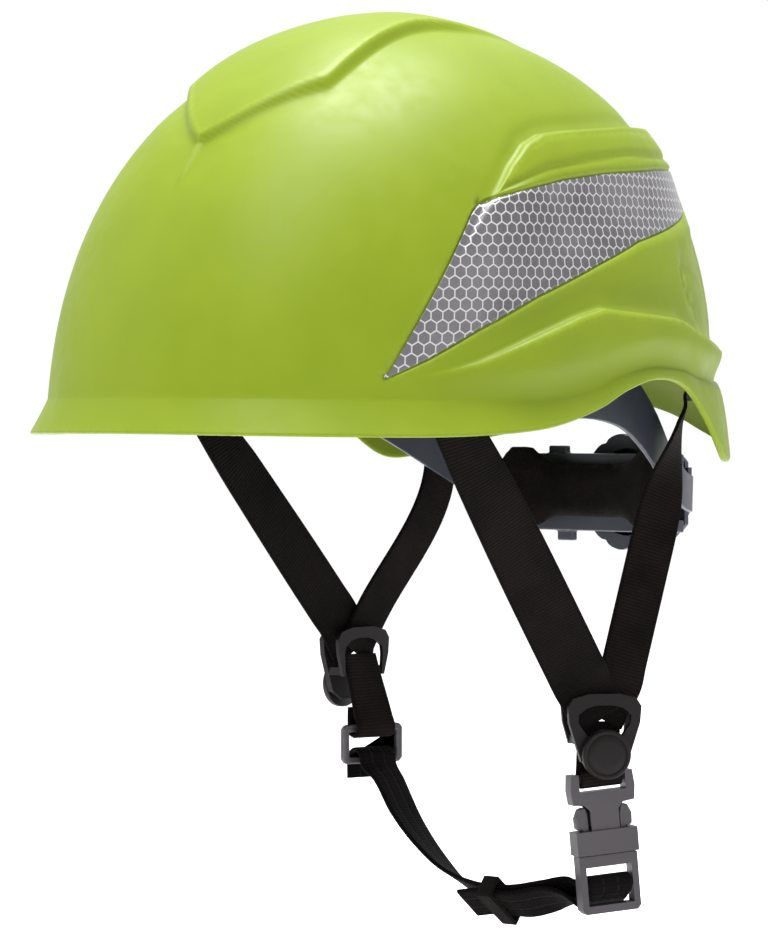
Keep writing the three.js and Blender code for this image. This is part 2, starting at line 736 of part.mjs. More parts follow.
// The divider is a shield-shaped frame: a front plate and an arch behind it, joined
// by two short ribs. The webbing runs between the two.
function dividerPlate(spot) {
  const outline = mirrored([[4, -13.5], [9, -10], [13.5, 4], [14, 10], [12, 13], [6, 14.6]]);
  const opening = mirrored([[6.5, -1], [10, 4], [10, 7], [7, 9.4], [3, 10.4]]);
  const backArch = mirrored([[11.2, -4], [13.5, 4], [14, 10], [12, 13], [6, 14.6]]);
  const backGap = mirrored([[9.6, -9], [10.4, 4], [10, 7], [7, 9.4], [3, 10.4]]);
  let body = plate(outline, -2.4, 0).subtract(plate(opening, -3, 1));
  body = body.add(plate(backArch, 6.4, 8).subtract(plate(backGap, 6, 9)));
  for (const side of [-1, 1]) body = body.add(block([side * 10.5, 3, -2.2], [1.4, 8, 3]));
  return toGeometry(placed(body, spot));
}

function dividerCap(spot) {
  const body = rod([0, -2.7, -7.5], [0, -6, -7.5], 9.2, 32);
  return toGeometry(placed(body, spot));
}

for (const [name, , spot] of SIDES) {
  add(`divider_${name}`, dividerPlate(spot), COLOURS.cap);
  add(`divider_cap_${name}`, dividerCap(spot), COLOURS.cap);
}

// A length of webbing that comes down from the divider, turns under a bar and goes back up.
function barLoop(top, bar, width, clearRadius, frontRise) {
  const points = [];
  const across = [];
  const side = acrossSpot(bar);
  const topSide = acrossSpot(top.spot);
  const back = atSpot(bar, 0, -clearRadius, 0);
  for (let i = 0; i < 6; i += 1) {
    points.push(mix(top.point, back, i / 6));
    across.push(mix(topSide, side, smooth(0, 1, i / 6)));
  }
  for (let i = 0; i <= 8; i += 1) {
    const a = (180 + (180 * i) / 8) * DEG;
    points.push(atSpot(bar, 0, clearRadius * Math.cos(a), clearRadius * Math.sin(a)));
    across.push(side);
  }
  points.push(atSpot(bar, 0, clearRadius, frontRise));
  across.push(side);
  return strap(points, across, width, WEB.thick);
}

add('loop_left', barLoop({ spot: LEFT, point: atSpot(LEFT, 0, -5.2, 4) }, BUCKLE, 16.5, 2.8, 3), COLOURS.webbing);
add('loop_right', barLoop({ spot: RIGHT, point: atSpot(RIGHT, 0, -5.2, 4) }, RING, 18, 3.1, 8), COLOURS.webbing);

// Rectangular ring with an upper bar for the webbing and a lower bar for the chin strap.
const RING_SIZE = { wide: 28, tall: 15, bar: 2.6 };

function ring() {
  const outer = mirrored([[12.5, -13.6], [14, -12], [14, 0], [12.5, 1.5]]);
  const inner = mirrored([[11, -11], [11, -1.5]]);
  return toGeometry(placed(plate(outer, -1.4, 1.4, [inner.slice().reverse()]), RING));
}

add('ring', ring(), COLOURS.greyPlastic);

// Female half: a bar for the webbing, a narrow waist that shows the prongs, and a sleeve.
function buckleFemale() {
  const upper = mirrored([[5.5, -19], [5.5, -11.5], [7.5, -9.5], [12, -9], [12.6, -4], [12, 2], [9, 2]]);
  let body = plate(upper, -3, 3);
  body = body.subtract(block([0, 0, -1.1], [18, 8, 7.2]));
  body = body.add(rod([-11, 0, 0], [11, 0, 0], 1.5, 16));
  const sleeve = block([0, 0, -23.4], [24, 8, 8.8]);
  body = body.add(sleeve);
  body = body.subtract(block([0, 0, -18.5], [19.4, 4.4, 20]));
  return toGeometry(placed(body, BUCKLE));
}

// Male half: a frame with a crossbar for the chin strap and a guide tongue.
function buckleMale() {
  const outer = mirrored([[10, -49.5], [11.4, -48], [11.4, -28.2]]);
  const window = mirrored([[8.9, -46.6], [8.9, -32.4]]);
  let body = plate(outer, -3, 3, [window.slice().reverse()]);
  body = body.add(rod([-10, 0, -39.5], [10, 0, -39.5], 1.4, 16));
  body = body.add(block([0, 0, -21], [3, 3.2, 15]));
  return toGeometry(placed(body, BUCKLE));
}

// A spring prong: a slim arm rooted in the male half with a rounded head.
function prong(side) {
  const outline = [
    [4.2, -27.8], [6.8, -27.8], [8.6, -18.6], [11, -18.2], [11.2, -14], [9.6, -10.6], [7, -10.2], [6.2, -13], [6, -18],
  ].map(([u, z]) => [side * u, z]);
  return toGeometry(placed(plate(outline, -1.8, 1.8), BUCKLE));
}

add('buckle_female', buckleFemale(), COLOURS.greyPlastic);
add('buckle_male', buckleMale(), COLOURS.greyPlastic);
add('prong_left', prong(1), COLOURS.greyPlastic);
add('prong_right', prong(-1), COLOURS.greyPlastic);

// ---- chin strap ---------------------------------------------------------

const CHIN = { width: 17, thick: 2, ringClear: 4.2, barClear: 3.1 };
// Centre points of the run under the chin, each with its width direction.
const CHIN_RUN = [
  [[-44, 48, -134], [0.1, 0.97, -0.2]],
  [[-35, 48, -147], [0.1, 0.94, -0.3]],
  [[-22, 48, -160], [0.1, 0.9, -0.4]],
  [[-8, 48, -169.5], [0.1, 0.85, -0.5]],
  [[8, 48.5, -174.5], [0.1, 0.8, -0.6]],
  [[24, 50, -174.5], [0.15, 0.8, -0.58]],
  [[37, 53.5, -171.5], [0.3, 0.85, -0.4]],
];
const TAIL = { gap: 2.9, from: 6, to: 4, tip: [0, 45.4, -178] };

// Smooth line through points that each carry a width direction.
function through(stations, steps) {
  const lines = [0, 1].map((k) => {
    const points = stations.map((station) => new THREE.Vector3(...station[k]));
    return new THREE.CatmullRomCurve3(points, false, 'centripetal');
  });
  const result = [];
  for (let i = 0; i <= steps; i += 1) {
    const t = i / steps;
    result.push([lines[0].getPoint(t).toArray(), lines[1].getPoint(t).toArray()]);
  }
  return result;
}

// A station shifted off the strap's face, towards the outside of the loop.
function offFace(index, distance) {
  const [point, width] = CHIN_RUN[index];
  const next = CHIN_RUN[Math.min(CHIN_RUN.length - 1, index + 1)][0];
  const previous = CHIN_RUN[Math.max(0, index - 1)][0];
  const along = new THREE.Vector3(...next).sub(new THREE.Vector3(...previous)).normalize();
  const out = new THREE.Vector3(...width).cross(along).normalize();
  if (out.z > 0) out.negate();
  return new THREE.Vector3(...point).addScaledVector(out, distance).toArray();
}

// One strap: a hem folded round the ring's lower bar, the run under the chin, the turn
// over the buckle's crossbar and the tail that comes back under the run.
function chinStrap() {
  const ringSide = acrossSpot(RING).map((v) => -v);
  const buckleSide = acrossSpot(BUCKLE);
  const bar = -12.3;
  const cross = -39.5;
  const stations = [];
  stations.push([atSpot(RING, 0, CHIN.ringClear, bar - 7), ringSide]);
  for (let i = 0; i <= 8; i += 1) {
    const a = (180 * i * Math.PI) / (8 * 180);
    const n = CHIN.ringClear * Math.cos(a);
    stations.push([atSpot(RING, 0, n, bar + CHIN.ringClear * Math.sin(a)), ringSide]);
  }
  const turn = [];
  for (let i = 0; i <= 9; i += 1) {
    const a = (170 - (245 * i) / 9) * DEG;
    turn.push([atSpot(BUCKLE, 0, CHIN.barClear * Math.cos(a), cross + CHIN.barClear * Math.sin(a)), buckleSide]);
  }
  const arrive = [[atSpot(BUCKLE, 0, -13, -40), buckleSide], [atSpot(BUCKLE, 0, -6.5, -38), buckleSide]];
  const leave = [[atSpot(BUCKLE, 0, -4.5, -45.6), buckleSide], [atSpot(BUCKLE, 0, -10, -47.6), buckleSide]];
  const run = through([stations.at(-1), ...CHIN_RUN, ...arrive, turn[0]], 34).slice(1, -1);
  const back = [];
  for (let k = TAIL.from; k >= TAIL.to; k -= 1) back.push([offFace(k, TAIL.gap), CHIN_RUN[k][1]]);
  back.push([TAIL.tip, CHIN_RUN[TAIL.to][1]]);
  const tail = through([turn.at(-1), ...leave, ...back], 18).slice(1);
  const all = [...stations, ...run, ...turn, ...tail];
  const bend = stations.length + run.length;
  const square = all.map((_, i) => Math.min(1, Math.max(0, bend - 1 - i, i - bend - turn.length) / 3));
  const centres = all.map((station) => station[0]);
  const widths = all.map((station) => station[1]);
  return strap(centres, widths, CHIN.width, CHIN.thick, square);
}

add('chin_strap', chinStrap(), COLOURS.webbing);

// A band that wraps the strap: `middle` is its centre, `deep` its inner depth.
function collar(middle, along, width, deep, long) {
  const x = new THREE.Vector3(...along).normalize();
  const y = new THREE.Vector3(...width);
  y.addScaledVector(x, -y.dot(x)).normalize();
  const z = x.clone().cross(y);
  const inner = CHIN.width + 1.2;
  const body = block([0, 0, 0], [long, inner + 2.4, deep + 2.4]).subtract(block([0, 0, 0], [long + 2, inner, deep]));
  const matrix = new THREE.Matrix4().makeBasis(x, y, z).setPosition(...middle);
  return toGeometry(body.transform(matrix.elements));
}

add('keeper', collar([14, 48.2, -176.2], [1, 0.06, 0], [0.1, 0.8, -0.6], 6.6, 7), COLOURS.webbing);

export default assembly;
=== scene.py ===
# %% [markdown]
# # An arborist helmet, piece by piece
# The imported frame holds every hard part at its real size, with the joints between them.
# This lesson dresses that frame: a moulded lime shell, reflective film, webbing, pads and
# buckles. Each surface is worked out with numpy as a grid of points, which is quick, exact
# and easy to change, and each finish is a node material that needs no picture.

# %% Load the frame
import math

import bmesh
import bpy
import numpy as np
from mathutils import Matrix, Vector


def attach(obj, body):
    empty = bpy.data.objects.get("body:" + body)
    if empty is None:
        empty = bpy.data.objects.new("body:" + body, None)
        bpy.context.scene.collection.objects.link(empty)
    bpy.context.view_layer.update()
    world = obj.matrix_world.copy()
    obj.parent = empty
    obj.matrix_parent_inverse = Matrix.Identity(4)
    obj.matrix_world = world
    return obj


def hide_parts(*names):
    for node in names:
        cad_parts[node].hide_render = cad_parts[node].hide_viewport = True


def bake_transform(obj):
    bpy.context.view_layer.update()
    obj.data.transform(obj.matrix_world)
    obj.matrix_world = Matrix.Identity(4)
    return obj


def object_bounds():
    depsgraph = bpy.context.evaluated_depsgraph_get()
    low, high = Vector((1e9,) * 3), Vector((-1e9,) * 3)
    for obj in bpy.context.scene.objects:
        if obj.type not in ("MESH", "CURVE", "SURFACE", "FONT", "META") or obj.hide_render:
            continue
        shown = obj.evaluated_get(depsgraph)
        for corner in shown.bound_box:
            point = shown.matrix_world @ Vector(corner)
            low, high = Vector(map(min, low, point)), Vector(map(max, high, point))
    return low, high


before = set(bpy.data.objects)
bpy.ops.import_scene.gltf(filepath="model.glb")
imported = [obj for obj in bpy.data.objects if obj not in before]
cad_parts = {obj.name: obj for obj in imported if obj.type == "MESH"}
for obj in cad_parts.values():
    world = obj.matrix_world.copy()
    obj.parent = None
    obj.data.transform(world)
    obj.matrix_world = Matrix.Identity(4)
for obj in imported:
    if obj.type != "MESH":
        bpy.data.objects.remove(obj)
cad_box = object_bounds()
MM = 0.001

# %% [markdown]
# ## Camera, floor and light
# The helmet is seen from its front left, almost level, so the brim reads as one flat curve.
# A long lens from well back keeps the near and far straps close to the same size.

# %% Camera
AZIMUTH = math.radians(44)
DISTANCE = 1.6
LENS_MM = 204
CAMERA_HEIGHT, AIM_HEIGHT = 0.011, -0.0143


def add_object(name, data):
    """Make an object that shows the data and link it into the scene."""
    made = bpy.data.objects.new(name, data)
    bpy.context.scene.collection.objects.link(made)
    return made


camera = add_object("camera", bpy.data.cameras.new("camera"))
camera.data.lens = LENS_MM
camera.data.sensor_fit = "HORIZONTAL"
camera.data.sensor_width = 36
camera.location = (DISTANCE * math.sin(AZIMUTH), -DISTANCE * math.cos(AZIMUTH), CAMERA_HEIGHT)
tilt = math.atan2(AIM_HEIGHT - CAMERA_HEIGHT, DISTANCE)
camera.rotation_euler = (math.pi / 2 + tilt, 0, AZIMUTH)
bpy.context.scene.camera = camera
print("camera stands", DISTANCE, "m away at", round(math.degrees(AZIMUTH)), "degrees")

# %% [markdown]
# The stage is a flat white floor under an evenly white sky, so the two meet without a
# visible horizon. The lamps are large squares, which gives soft shadows: a strong one
# overhead and one in front shape the dome, and two weak ones light the sides. The floor
# lies a little below the chin strap, where a released buckle still has room to hang.

# %% Stage
FLOOR_DROP, STAGE_HALF = 0.034, 6.0
FLOOR_Z = cad_box[0][2] - FLOOR_DROP


def plain_material(name, colour, roughness):
    """One even finish, used only for the stage."""
    material = bpy.data.materials.new(name)
    material.use_nodes = True
    shader = material.node_tree.nodes["Principled BSDF"]
    shader.inputs["Base Color"].default_value = (*colour, 1)
    shader.inputs["Roughness"].default_value = roughness
    return material


def flat_floor():
    """A square of four points on the floor level."""
    mesh = bpy.data.meshes.new("floor")
    signs = ((-1, -1), (1, -1), (1, 1), (-1, 1))
    mesh.from_pydata([(x * STAGE_HALF, y * STAGE_HALF, FLOOR_Z) for x, y in signs], [], [(0, 1, 2, 3)])
    floor = add_object("floor", mesh)
    floor.data.materials.append(plain_material("studio_paper", (1.0, 1.0, 1.0), 0.9))


flat_floor()
print("floor laid at", round(FLOOR_Z, 4))

# %% Lights
world = bpy.data.worlds.new("studio")
world.use_nodes = True
sky = world.node_tree.nodes["Background"]
sky.inputs["Color"].default_value = (1, 1, 1, 1)
sky.inputs["Strength"].default_value = 1.0
bpy.context.scene.world = world
bpy.context.scene.view_settings.view_transform = "Standard"


def area_light(name, place, aim, size, watts):
    """A square soft lamp at `place` that faces the point `aim`."""
    lamp = bpy.data.lights.new(name, "AREA")
    lamp.size = size
    lamp.energy = watts
    holder = add_object(name, lamp)
    holder.location = place
    x, y, z = np.array(aim) - np.array(place)
    holder.rotation_euler = (math.atan2(math.hypot(x, y), -z), 0, math.atan2(-x, y))


HELMET_MIDDLE = (0, 0, 0.02)
# Each row: name, place in metres, side of the square in metres, watts.
LAMPS = [
    ("key_box", (0.15, -1.1, 1.5), 0.9, 24), ("left_box", (-1.3, -0.9, 0.7), 0.8, 2),
    ("right_box", (1.5, 0.5, 0.6), 1.0, 2), ("top_box", (-0.1, 0.15, 1.6), 1.0, 60),
]
for name, spot, size, watts in LAMPS:
    area_light(name, spot, HELMET_MIDDLE, size, watts)
print(len(LAMPS), "lamps face the helmet")

# %% [markdown]
# ## Small tools for building surfaces
# A surface here is a grid of points: rows by columns by three numbers. `grid_faces` joins
# neighbours into quads, `new_piece` puts points and faces into a mesh. Everything works on
# whole arrays, so a hundred thousand points take a moment.

# %% Mesh helpers


def new_piece(name, points, *face_sets, uv=None):
    """Make a smooth mesh object from (n, 3) points in metres and arrays of quads or triangles."""
    mesh = bpy.data.meshes.new(name)
    points = np.asarray(points, float).reshape(-1, 3)
    corners = np.concatenate([faces.ravel() for faces in face_sets])
    sizes = np.concatenate([np.full(len(faces), faces.shape[1]) for faces in face_sets])
    mesh.vertices.add(len(points))
    mesh.vertices.foreach_set("co", points.astype(np.float32).ravel())
    mesh.loops.add(len(corners))
    mesh.loops.foreach_set("vertex_index", corners)
    mesh.polygons.add(len(sizes))
    mesh.polygons.foreach_set("loop_start", np.concatenate([[0], np.cumsum(sizes)[:-1]]))
    mesh.update(calc_edges=True)
    mesh.polygons.foreach_set("use_smooth", np.full(len(sizes), True))
    if uv is not None:
        layer = mesh.uv_layers.new(name="UVMap")
        layer.data.foreach_set("uv", np.asarray(uv, float).reshape(-1, 2)[corners].ravel())
    mesh.validate()
    return add_object(name, mesh)


def grid_faces(rows, columns, wrap_columns=False, start=0):
    """Quads between neighbouring points of a rows-by-columns grid."""
    index = start + np.arange(rows * columns).reshape(rows, columns)
    if wrap_columns:
        index = np.concatenate([index, index[:, :1]], axis=1)
    quads = np.stack([index[:-1, :-1], index[:-1, 1:], index[1:, 1:], index[1:, :-1]], axis=-1)
    return quads.reshape(-1, 4)


def face_outward(piece):
    """Turn a closed piece's faces outward and merge any doubled points."""
    work = bmesh.new()
    work.from_mesh(piece.data)
    bmesh.ops.remove_doubles(work, verts=work.verts, dist=1e-7)
    bmesh.ops.recalc_face_normals(work, faces=work.faces)
    work.to_mesh(piece.data)
    work.free()


def step(low, high, x):
    """A soft step from 0 at `low` to 1 at `high`, level at both ends; low may be above high."""
    t = np.clip((x - low) / (high - low), 0, 1)
    return t * t * (3 - 2 * t)


def unit(v):
    """Vectors scaled to length one along the last axis."""
    v = np.asarray(v, float)
    return v / np.maximum(np.linalg.norm(v, axis=-1, keepdims=True), 1e-12)


def power(x, exponent):
    """sign(x) |x|^exponent, which squares off a circle for an exponent below one."""
    return np.sign(x) * np.abs(x) ** exponent


def circle(count):
    """`count` even angles once round."""
    return np.linspace(0, 2 * np.pi, count, endpoint=False)


def cubic(t, span, start, stop, slope_in, slope_out):
    """The cubic over t = 0..1 between two values a `span` apart, with a given slope at each."""
    level = (2 * t**3 - 3 * t**2 + 1) * start + (3 * t**2 - 2 * t**3) * stop
    return level + span * ((t**3 - 2 * t**2 + t) * slope_in + (t**3 - t**2) * slope_out)


def curve(table, x):
    """A smooth cubic through a table of (x, y) pairs, level at both ends."""
    xs, ys = np.array(table, float).T
    slopes = np.zeros(len(xs))
    slopes[1:-1] = (ys[2:] - ys[:-2]) / (xs[2:] - xs[:-2])
    i = np.clip(np.searchsorted(xs, x, side="right") - 1, 0, len(xs) - 2)
    span = xs[i + 1] - xs[i]
    t = np.clip((x - xs[i]) / span, 0, 1)
    return cubic(t, span, ys[i], ys[i + 1], slopes[i], slopes[i + 1])


def place(piece, body, *nodes, slot, bends=None):
    """Ride a body, or with `bends` stay where it lies on no body; hide the CAD nodes it replaces. `slot`
    is not used.
    """
    if bends:
        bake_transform(piece)
    else:
        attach(piece, body)
    if nodes:
        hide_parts(*nodes)
    return piece


def height_on(line, s):
    """Height of an open line at the distances `s` along the side, straight between its points."""
    return np.interp(s, *np.array(line).T)


def distance_to_line(x, y, line):
    """Signed distance from points to an open polyline: positive on its right-hand side."""
    line = np.asarray(line, float)
    best = np.full(np.shape(x), np.inf)
    sign = np.ones(np.shape(x))
    for (ax, ay), (bx, by) in zip(line[:-1], line[1:]):
        dx, dy = bx - ax, by - ay
        t = np.clip(((x - ax) * dx + (y - ay) * dy) / (dx * dx + dy * dy), 0, 1)
        away = np.hypot(x - ax - t * dx, y - ay - t * dy)
        side = np.where((y - ay) * dx - (x - ax) * dy > 0, -1.0, 1.0)
        nearer = away < best - 1e-9
        best = np.where(nearer, away, best)
        sign = np.where(nearer, side, sign)
    return best * sign


def smooth_line(stations, spacing):
    """Evenly spaced rows on a smooth curve; the first three columns of a station are its place."""
    p = np.asarray(stations, float)
    h = np.maximum(np.linalg.norm(np.diff(p[:, :3], axis=0), axis=1), 1e-9)[:, None]
    rate = np.diff(p, axis=0) / h
    slope = np.vstack([rate[:1], (rate[:-1] * h[1:] + rate[1:] * h[:-1]) / (h[:-1] + h[1:]), rate[-1:]])
    along = np.concatenate([[0], np.cumsum(h)])
    where = np.linspace(0, along[-1], max(2, int(round(along[-1] / spacing)) + 1))
    i = np.clip(np.searchsorted(along, where, side="right") - 1, 0, len(h) - 1)
    t = ((where - along[i]) / h[i, 0])[:, None]
    return cubic(t, h[i], p[i], p[i + 1], slope[i], slope[i + 1])


print("helpers ready")

# %% [markdown]
# ## The shell
# The real shell is one injection moulding of satin lime plastic, 2.6 mm thick. Its plan is
# a superellipse and its side follows a power curve, so both can be written as formulas.
# On that dome sit the raised crown tongue, a brow ledge over the film, a lower wing and a
# flared flange. Sculpting them would be slow to repeat; here each is a height added along
# the surface normal, driven by the distance to one line drawn on the dome.

# %% Shell dimensions in millimetres
# Each table gives a length in millimetres at an angle in degrees from the nose.
HALF_LENGTH, HALF_WIDTH, BOXINESS = 129.5, 102.5, 2.35
LOW, TOP, RISE, LEAN, WALL = -2.0, 149.5, 2.45, 11.0, 2.6
RIM = [
    (0, 0), (50, -1), (65, 0), (77, 2.5), (90, 9), (98, 15), (108, 19), (118, 16),
    (126, 5), (135, -10), (142, -10), (150, -5), (160, 0), (170, 7), (180, 11),
]
FLANGE_TALL = [
    (0, 12), (60, 11.5), (80, 8), (95, 5), (115, 4.5),
    (126, 14), (135, 27), (150, 24), (165, 14), (180, 12),
]
FLANGE_OUT = [(0, 6.3), (60, 6.3), (80, 5), (95, 3.4), (115, 3), (126, 4.5), (135, 6.2), (180, 6.2)]
FLANGE_BEND = [(0, 1.1), (100, 1), (135, 0.4), (180, 0.6)]
TONGUE = dict(tip=-93, shoulder=-64, half=35, waist=27, height=4.4, fade_from=-15, fade_to=56, soft=4.2)


def plan_radius(angle, half_length=HALF_LENGTH, half_width=HALF_WIDTH, boxiness=BOXINESS):
    """Superellipse |x/a|^n + |y/b|^n = 1 written as a radius at an angle from the nose."""
    c = np.abs(np.cos(angle)) / half_length
    s = np.abs(np.sin(angle)) / half_width
    return (c**boxiness + s**boxiness) ** (-1 / boxiness)


def height_share(z):
    """0 at the dome's base line, 1 at its top."""
    return np.clip((z - LOW) / (TOP - LOW), 0, 1)


def dome(angle, z, inset=0.0):
    """Point of the plain dome: the plan shrinks by sqrt(1 - u^RISE) and leans back as u rises."""
    u = height_share(z)
    reach = np.sqrt(np.maximum(0, 1 - u**RISE))
    r = plan_radius(angle) * reach - inset
    return np.stack([r * np.sin(angle), -r * np.cos(angle) + LEAN * u, z + 0 * angle], axis=-1)


def dome_normal(angle, z):
    """Outward unit normal of the dome from two small steps along the surface."""
    p = dome(angle, z)
    u = height_share(z)
    sideways = dome(angle + 0.01, z) - p
    upward = dome(angle, np.minimum(z + 0.2, TOP)) - p
    n = unit(np.cross(sideways, upward))
    crown = np.stack([0 * u, 0 * u, 1 + 0 * u], axis=-1)
    return np.where((u > 0.9995)[..., None], crown, n)


def run_along(path):
    """Distance along a path of points, starting at 0."""
    return np.concatenate([[0], np.cumsum(np.linalg.norm(np.diff(path, axis=0), axis=1))])


TURN_STEPS = 1800
TURN_TABLE = np.radians(np.linspace(0, 180, TURN_STEPS + 1))
PLAN_LINE = plan_radius(TURN_TABLE)[:, None] * np.stack([np.sin(TURN_TABLE), -np.cos(TURN_TABLE)], 1)
GIRTH_TABLE = run_along(PLAN_LINE)
GIRTH_TABLE = GIRTH_TABLE - GIRTH_TABLE[TURN_STEPS // 2]


def girth(angle):
    """Distance along the plan from the side of the helmet, negative towards the nose."""
    return np.interp(np.abs(angle), TURN_TABLE, GIRTH_TABLE)


def angle_at(distance):
    """The turn from the nose at a distance along the plan."""
    return np.interp(distance, GIRTH_TABLE, TURN_TABLE)


def rim(angle):
    """Height of the bottom edge."""
    return curve(RIM, np.degrees(np.abs(angle)))


def crease(angle):
    """Height where the dome turns out into the flange."""
    return rim(angle) + curve(FLANGE_TALL, np.degrees(np.abs(angle)))


print("half girth", round(float(GIRTH_TABLE[-1]), 1), "mm")

# %% [markdown]
# The features of the side are lines in (distance along the plan, height). A ledge is a soft
# step across its line that dies away behind it; a groove is a narrow dip along its line.

# %% Feature lines and heights
BROW_EDGE = [
    (-73, 52), (-62, 62), (-52, 76), (-37, 92), (-26, 100), (-14, 104), (5, 106), (53, 109), (112, 110),
]
BROW_FOLD = [(-50, 79), (-42, 84), (-18, 91), (10, 95), (42, 98), (108, 99)]
WING_EDGE = [
    (-82, 18), (-66, 21), (-55, 24), (-28, 34), (-10, 40), (3, 43),
    (14, 42), (33, 41), (50, 40), (63, 36), (91, 30), (120, 27),
]
FILM_LOW = [(-91, 17.5), (-74, 25), (-55, 35), (-28, 47), (6, 59), (34, 68), (106, 82)]
FILM_HIGH = [
    (-89, 20), (-57, 76), (-54, 79), (-50, 80.5), (-43, 81.5), (-8, 88), (20, 91), (69, 94), (106, 95),
]
HOOK = [(112, 70), (92, 66), (70, 62), (64, 58), (63, 54), (67, 49), (78, 42), (96, 38)]
FILM_DEPTH, FILM_START, FILM_CORNER, FILM_END = 0.9, -91.0, -54.0, 106.0
# How far each feature stands out of the dome or sinks into it.
BROW_OUT, BROW_SHADE, FOLD_DEEP = 3.6, 0.5, 1.0
WING_OUT, WING_HOLLOW, GROOVE_DEEP, BAY_DEEP = 3.8, 1.2, 2.0, 1.7


def dip(distance, width):
    """A bell exp(-(distance/width)^2), one on its line."""
    return np.exp(-((distance / width) ** 2))


def tongue_height(x, y):
    """Raised tongue: full height inside a rounded V, fading towards the back."""
    t = TONGUE
    opening = np.clip((y - t["tip"]) / (t["shoulder"] - t["tip"]), 0, 1)
    half = t["half"] * opening**0.7 - step(t["shoulder"], 0, y) * (t["half"] - t["waist"])
    inside = step(half + t["soft"] / 2, half - t["soft"] / 2, np.abs(x))
    scoop = dip(np.abs(x) - half - 5, 6) * step(-30, -70, y) * step(t["tip"] - 26, t["tip"] + 4, y)
    rise = 0.5 + 0.5 * step(t["tip"], -35, y)
    return t["height"] * rise * inside * step(t["fade_to"], t["fade_from"], y) - 0.4 * scoop


def film_mask(s, z, margin=0.0, soft=0.8):
    """1 inside the film's outline, 0 outside, with a soft edge."""
    low, high = height_on(FILM_LOW, s), height_on(FILM_HIGH, s)
    front = distance_to_line(s, z, [FILM_LOW[0], FILM_HIGH[1]])
    inside = np.minimum.reduce([z - low, high - z + 0 * s, FILM_END - s])
    inside = np.where(s < FILM_CORNER, np.minimum(z - low, front), inside)
    return step(-margin - soft / 2, -margin + soft / 2, inside)


def side_height(s, z):
    """Height of the brow ledge, the lower wing, the hook groove and the film's pocket."""
    brow = distance_to_line(s, z, BROW_EDGE)
    brow_size = BROW_OUT * step(-76, -18, s) * step(124, 96, s)
    ledge = brow_size * step(-0.9, 0.9, brow) * step(34, 6, brow)
    shade = -BROW_SHADE * brow_size / BROW_OUT * dip(brow + 3.5, 3.0)
    fold = distance_to_line(s, z, BROW_FOLD)
    fold_dip = -FOLD_DEEP * dip(fold, 1.1) * step(-52, -36, s) * step(112, 98, s)
    wing = distance_to_line(s, z, WING_EDGE)
    wing_size = WING_OUT * step(-86, -20, s) * step(128, 96, s)
    plate = wing_size * step(-0.8, 0.8, wing) * step(30, 8, wing)
    hollow = -WING_HOLLOW * wing_size / WING_OUT * dip(wing + 6, 5.0)
    hook = distance_to_line(s, z, HOOK)
    groove = -GROOVE_DEEP * dip(hook, 1.5) * step(60, 66, s) * step(116, 104, s)
    bay = -BAY_DEEP * step(2, -2, hook) * step(62, 72, s) * step(116, 100, s)
    bay = bay * step(36, 42, z) * step(72, 66, z)
    pocket = -FILM_DEPTH * film_mask(s, z, margin=0.6)
    return ledge + shade + fold_dip + plate + hollow + groove + bay + pocket


def skin_point(angle, z, lift=0.0):
    """The finished outer surface: dome plus every raised or sunken feature."""
    base = dome(angle, z)
    height = side_height(girth(angle), z) * step(4, 16, z - crease(angle) + 4)
    height = height + tongue_height(base[..., 0], base[..., 1]) * step(84, 92, z)
    return base + dome_normal(angle, z) * (height + lift)[..., None]


print("features:", "tongue, brow ledge, fold, wing, hook, film pocket")

# %% [markdown]
# The mesh runs down in one go: crown, side, crease, flange, the rounded rim, back up inside
# the wall and over the inner dome. A single tube of rings keeps the piece closed, with one
# small fan at each pole. The same tube later makes the pads and the turned caps.

# %% Build the shell
COLUMNS, CROWN_ROWS, INNER_ROWS, SHOULDER = 540, 58, 12, 116.0
# Each long line of the side carries three rows, at these distances from it.
LINE_ROWS = [
    (WING_EDGE, (-0.8, 0.0, 0.8)), (FILM_LOW, (-1.0, -0.6, -0.2)),
    (FILM_HIGH, (0.2, 0.6, 1.0)), (BROW_EDGE, (-0.9, 0.0, 0.9)),
]
ROWS_BETWEEN_LINES = (14, 9, 18, 12, 18)


def column_angles():
    """Angles round the helmet, packed so that the columns are even along the plan."""
    even = np.linspace(GIRTH_TABLE[0], GIRTH_TABLE[-1], COLUMNS // 2 + 1)
    half = angle_at(even)
    return np.concatenate([half, -half[-2:0:-1]])


def rows_between(start, stop, rows):
    """Heights from `start` (per column) up to `stop`, spaced evenly along the dome's side."""
    def swing_of(z):
        return np.arcsin(height_share(z) ** (RISE / 2))
    a, b = swing_of(start), swing_of(stop + 0 * start)
    t = np.linspace(0, 1, rows)[:, None]
    return LOW + (TOP - LOW) * np.sin(a + (b - a) * t) ** (2 / RISE)


def side_rows(angle):
    """Rows from the crease to the shoulder; bundles of them follow the long lines, so the
    mesh bends exactly where the shape does and every edge stays crisp."""
    s = girth(angle)
    marks = [crease(angle)]
    for line, offsets in LINE_ROWS:
        height = height_on(line, s)
        for offset in offsets:
            marks.append(np.maximum(height + offset, marks[-1] + 0.35))
    marks = np.array(marks + [np.full_like(s, SHOULDER)])
    rows = [marks[0]]
    gaps = iter(ROWS_BETWEEN_LINES)
    for k in range(len(marks) - 1):
        count = next(gaps) if k % 3 == 0 else 1
        rows += [marks[k] + (marks[k + 1] - marks[k]) * i / count for i in range(1, count + 1)]
    even = rows_between(marks[0], marks[-1], len(rows))
    return rows + (even - rows) * step(-92, -106, s)


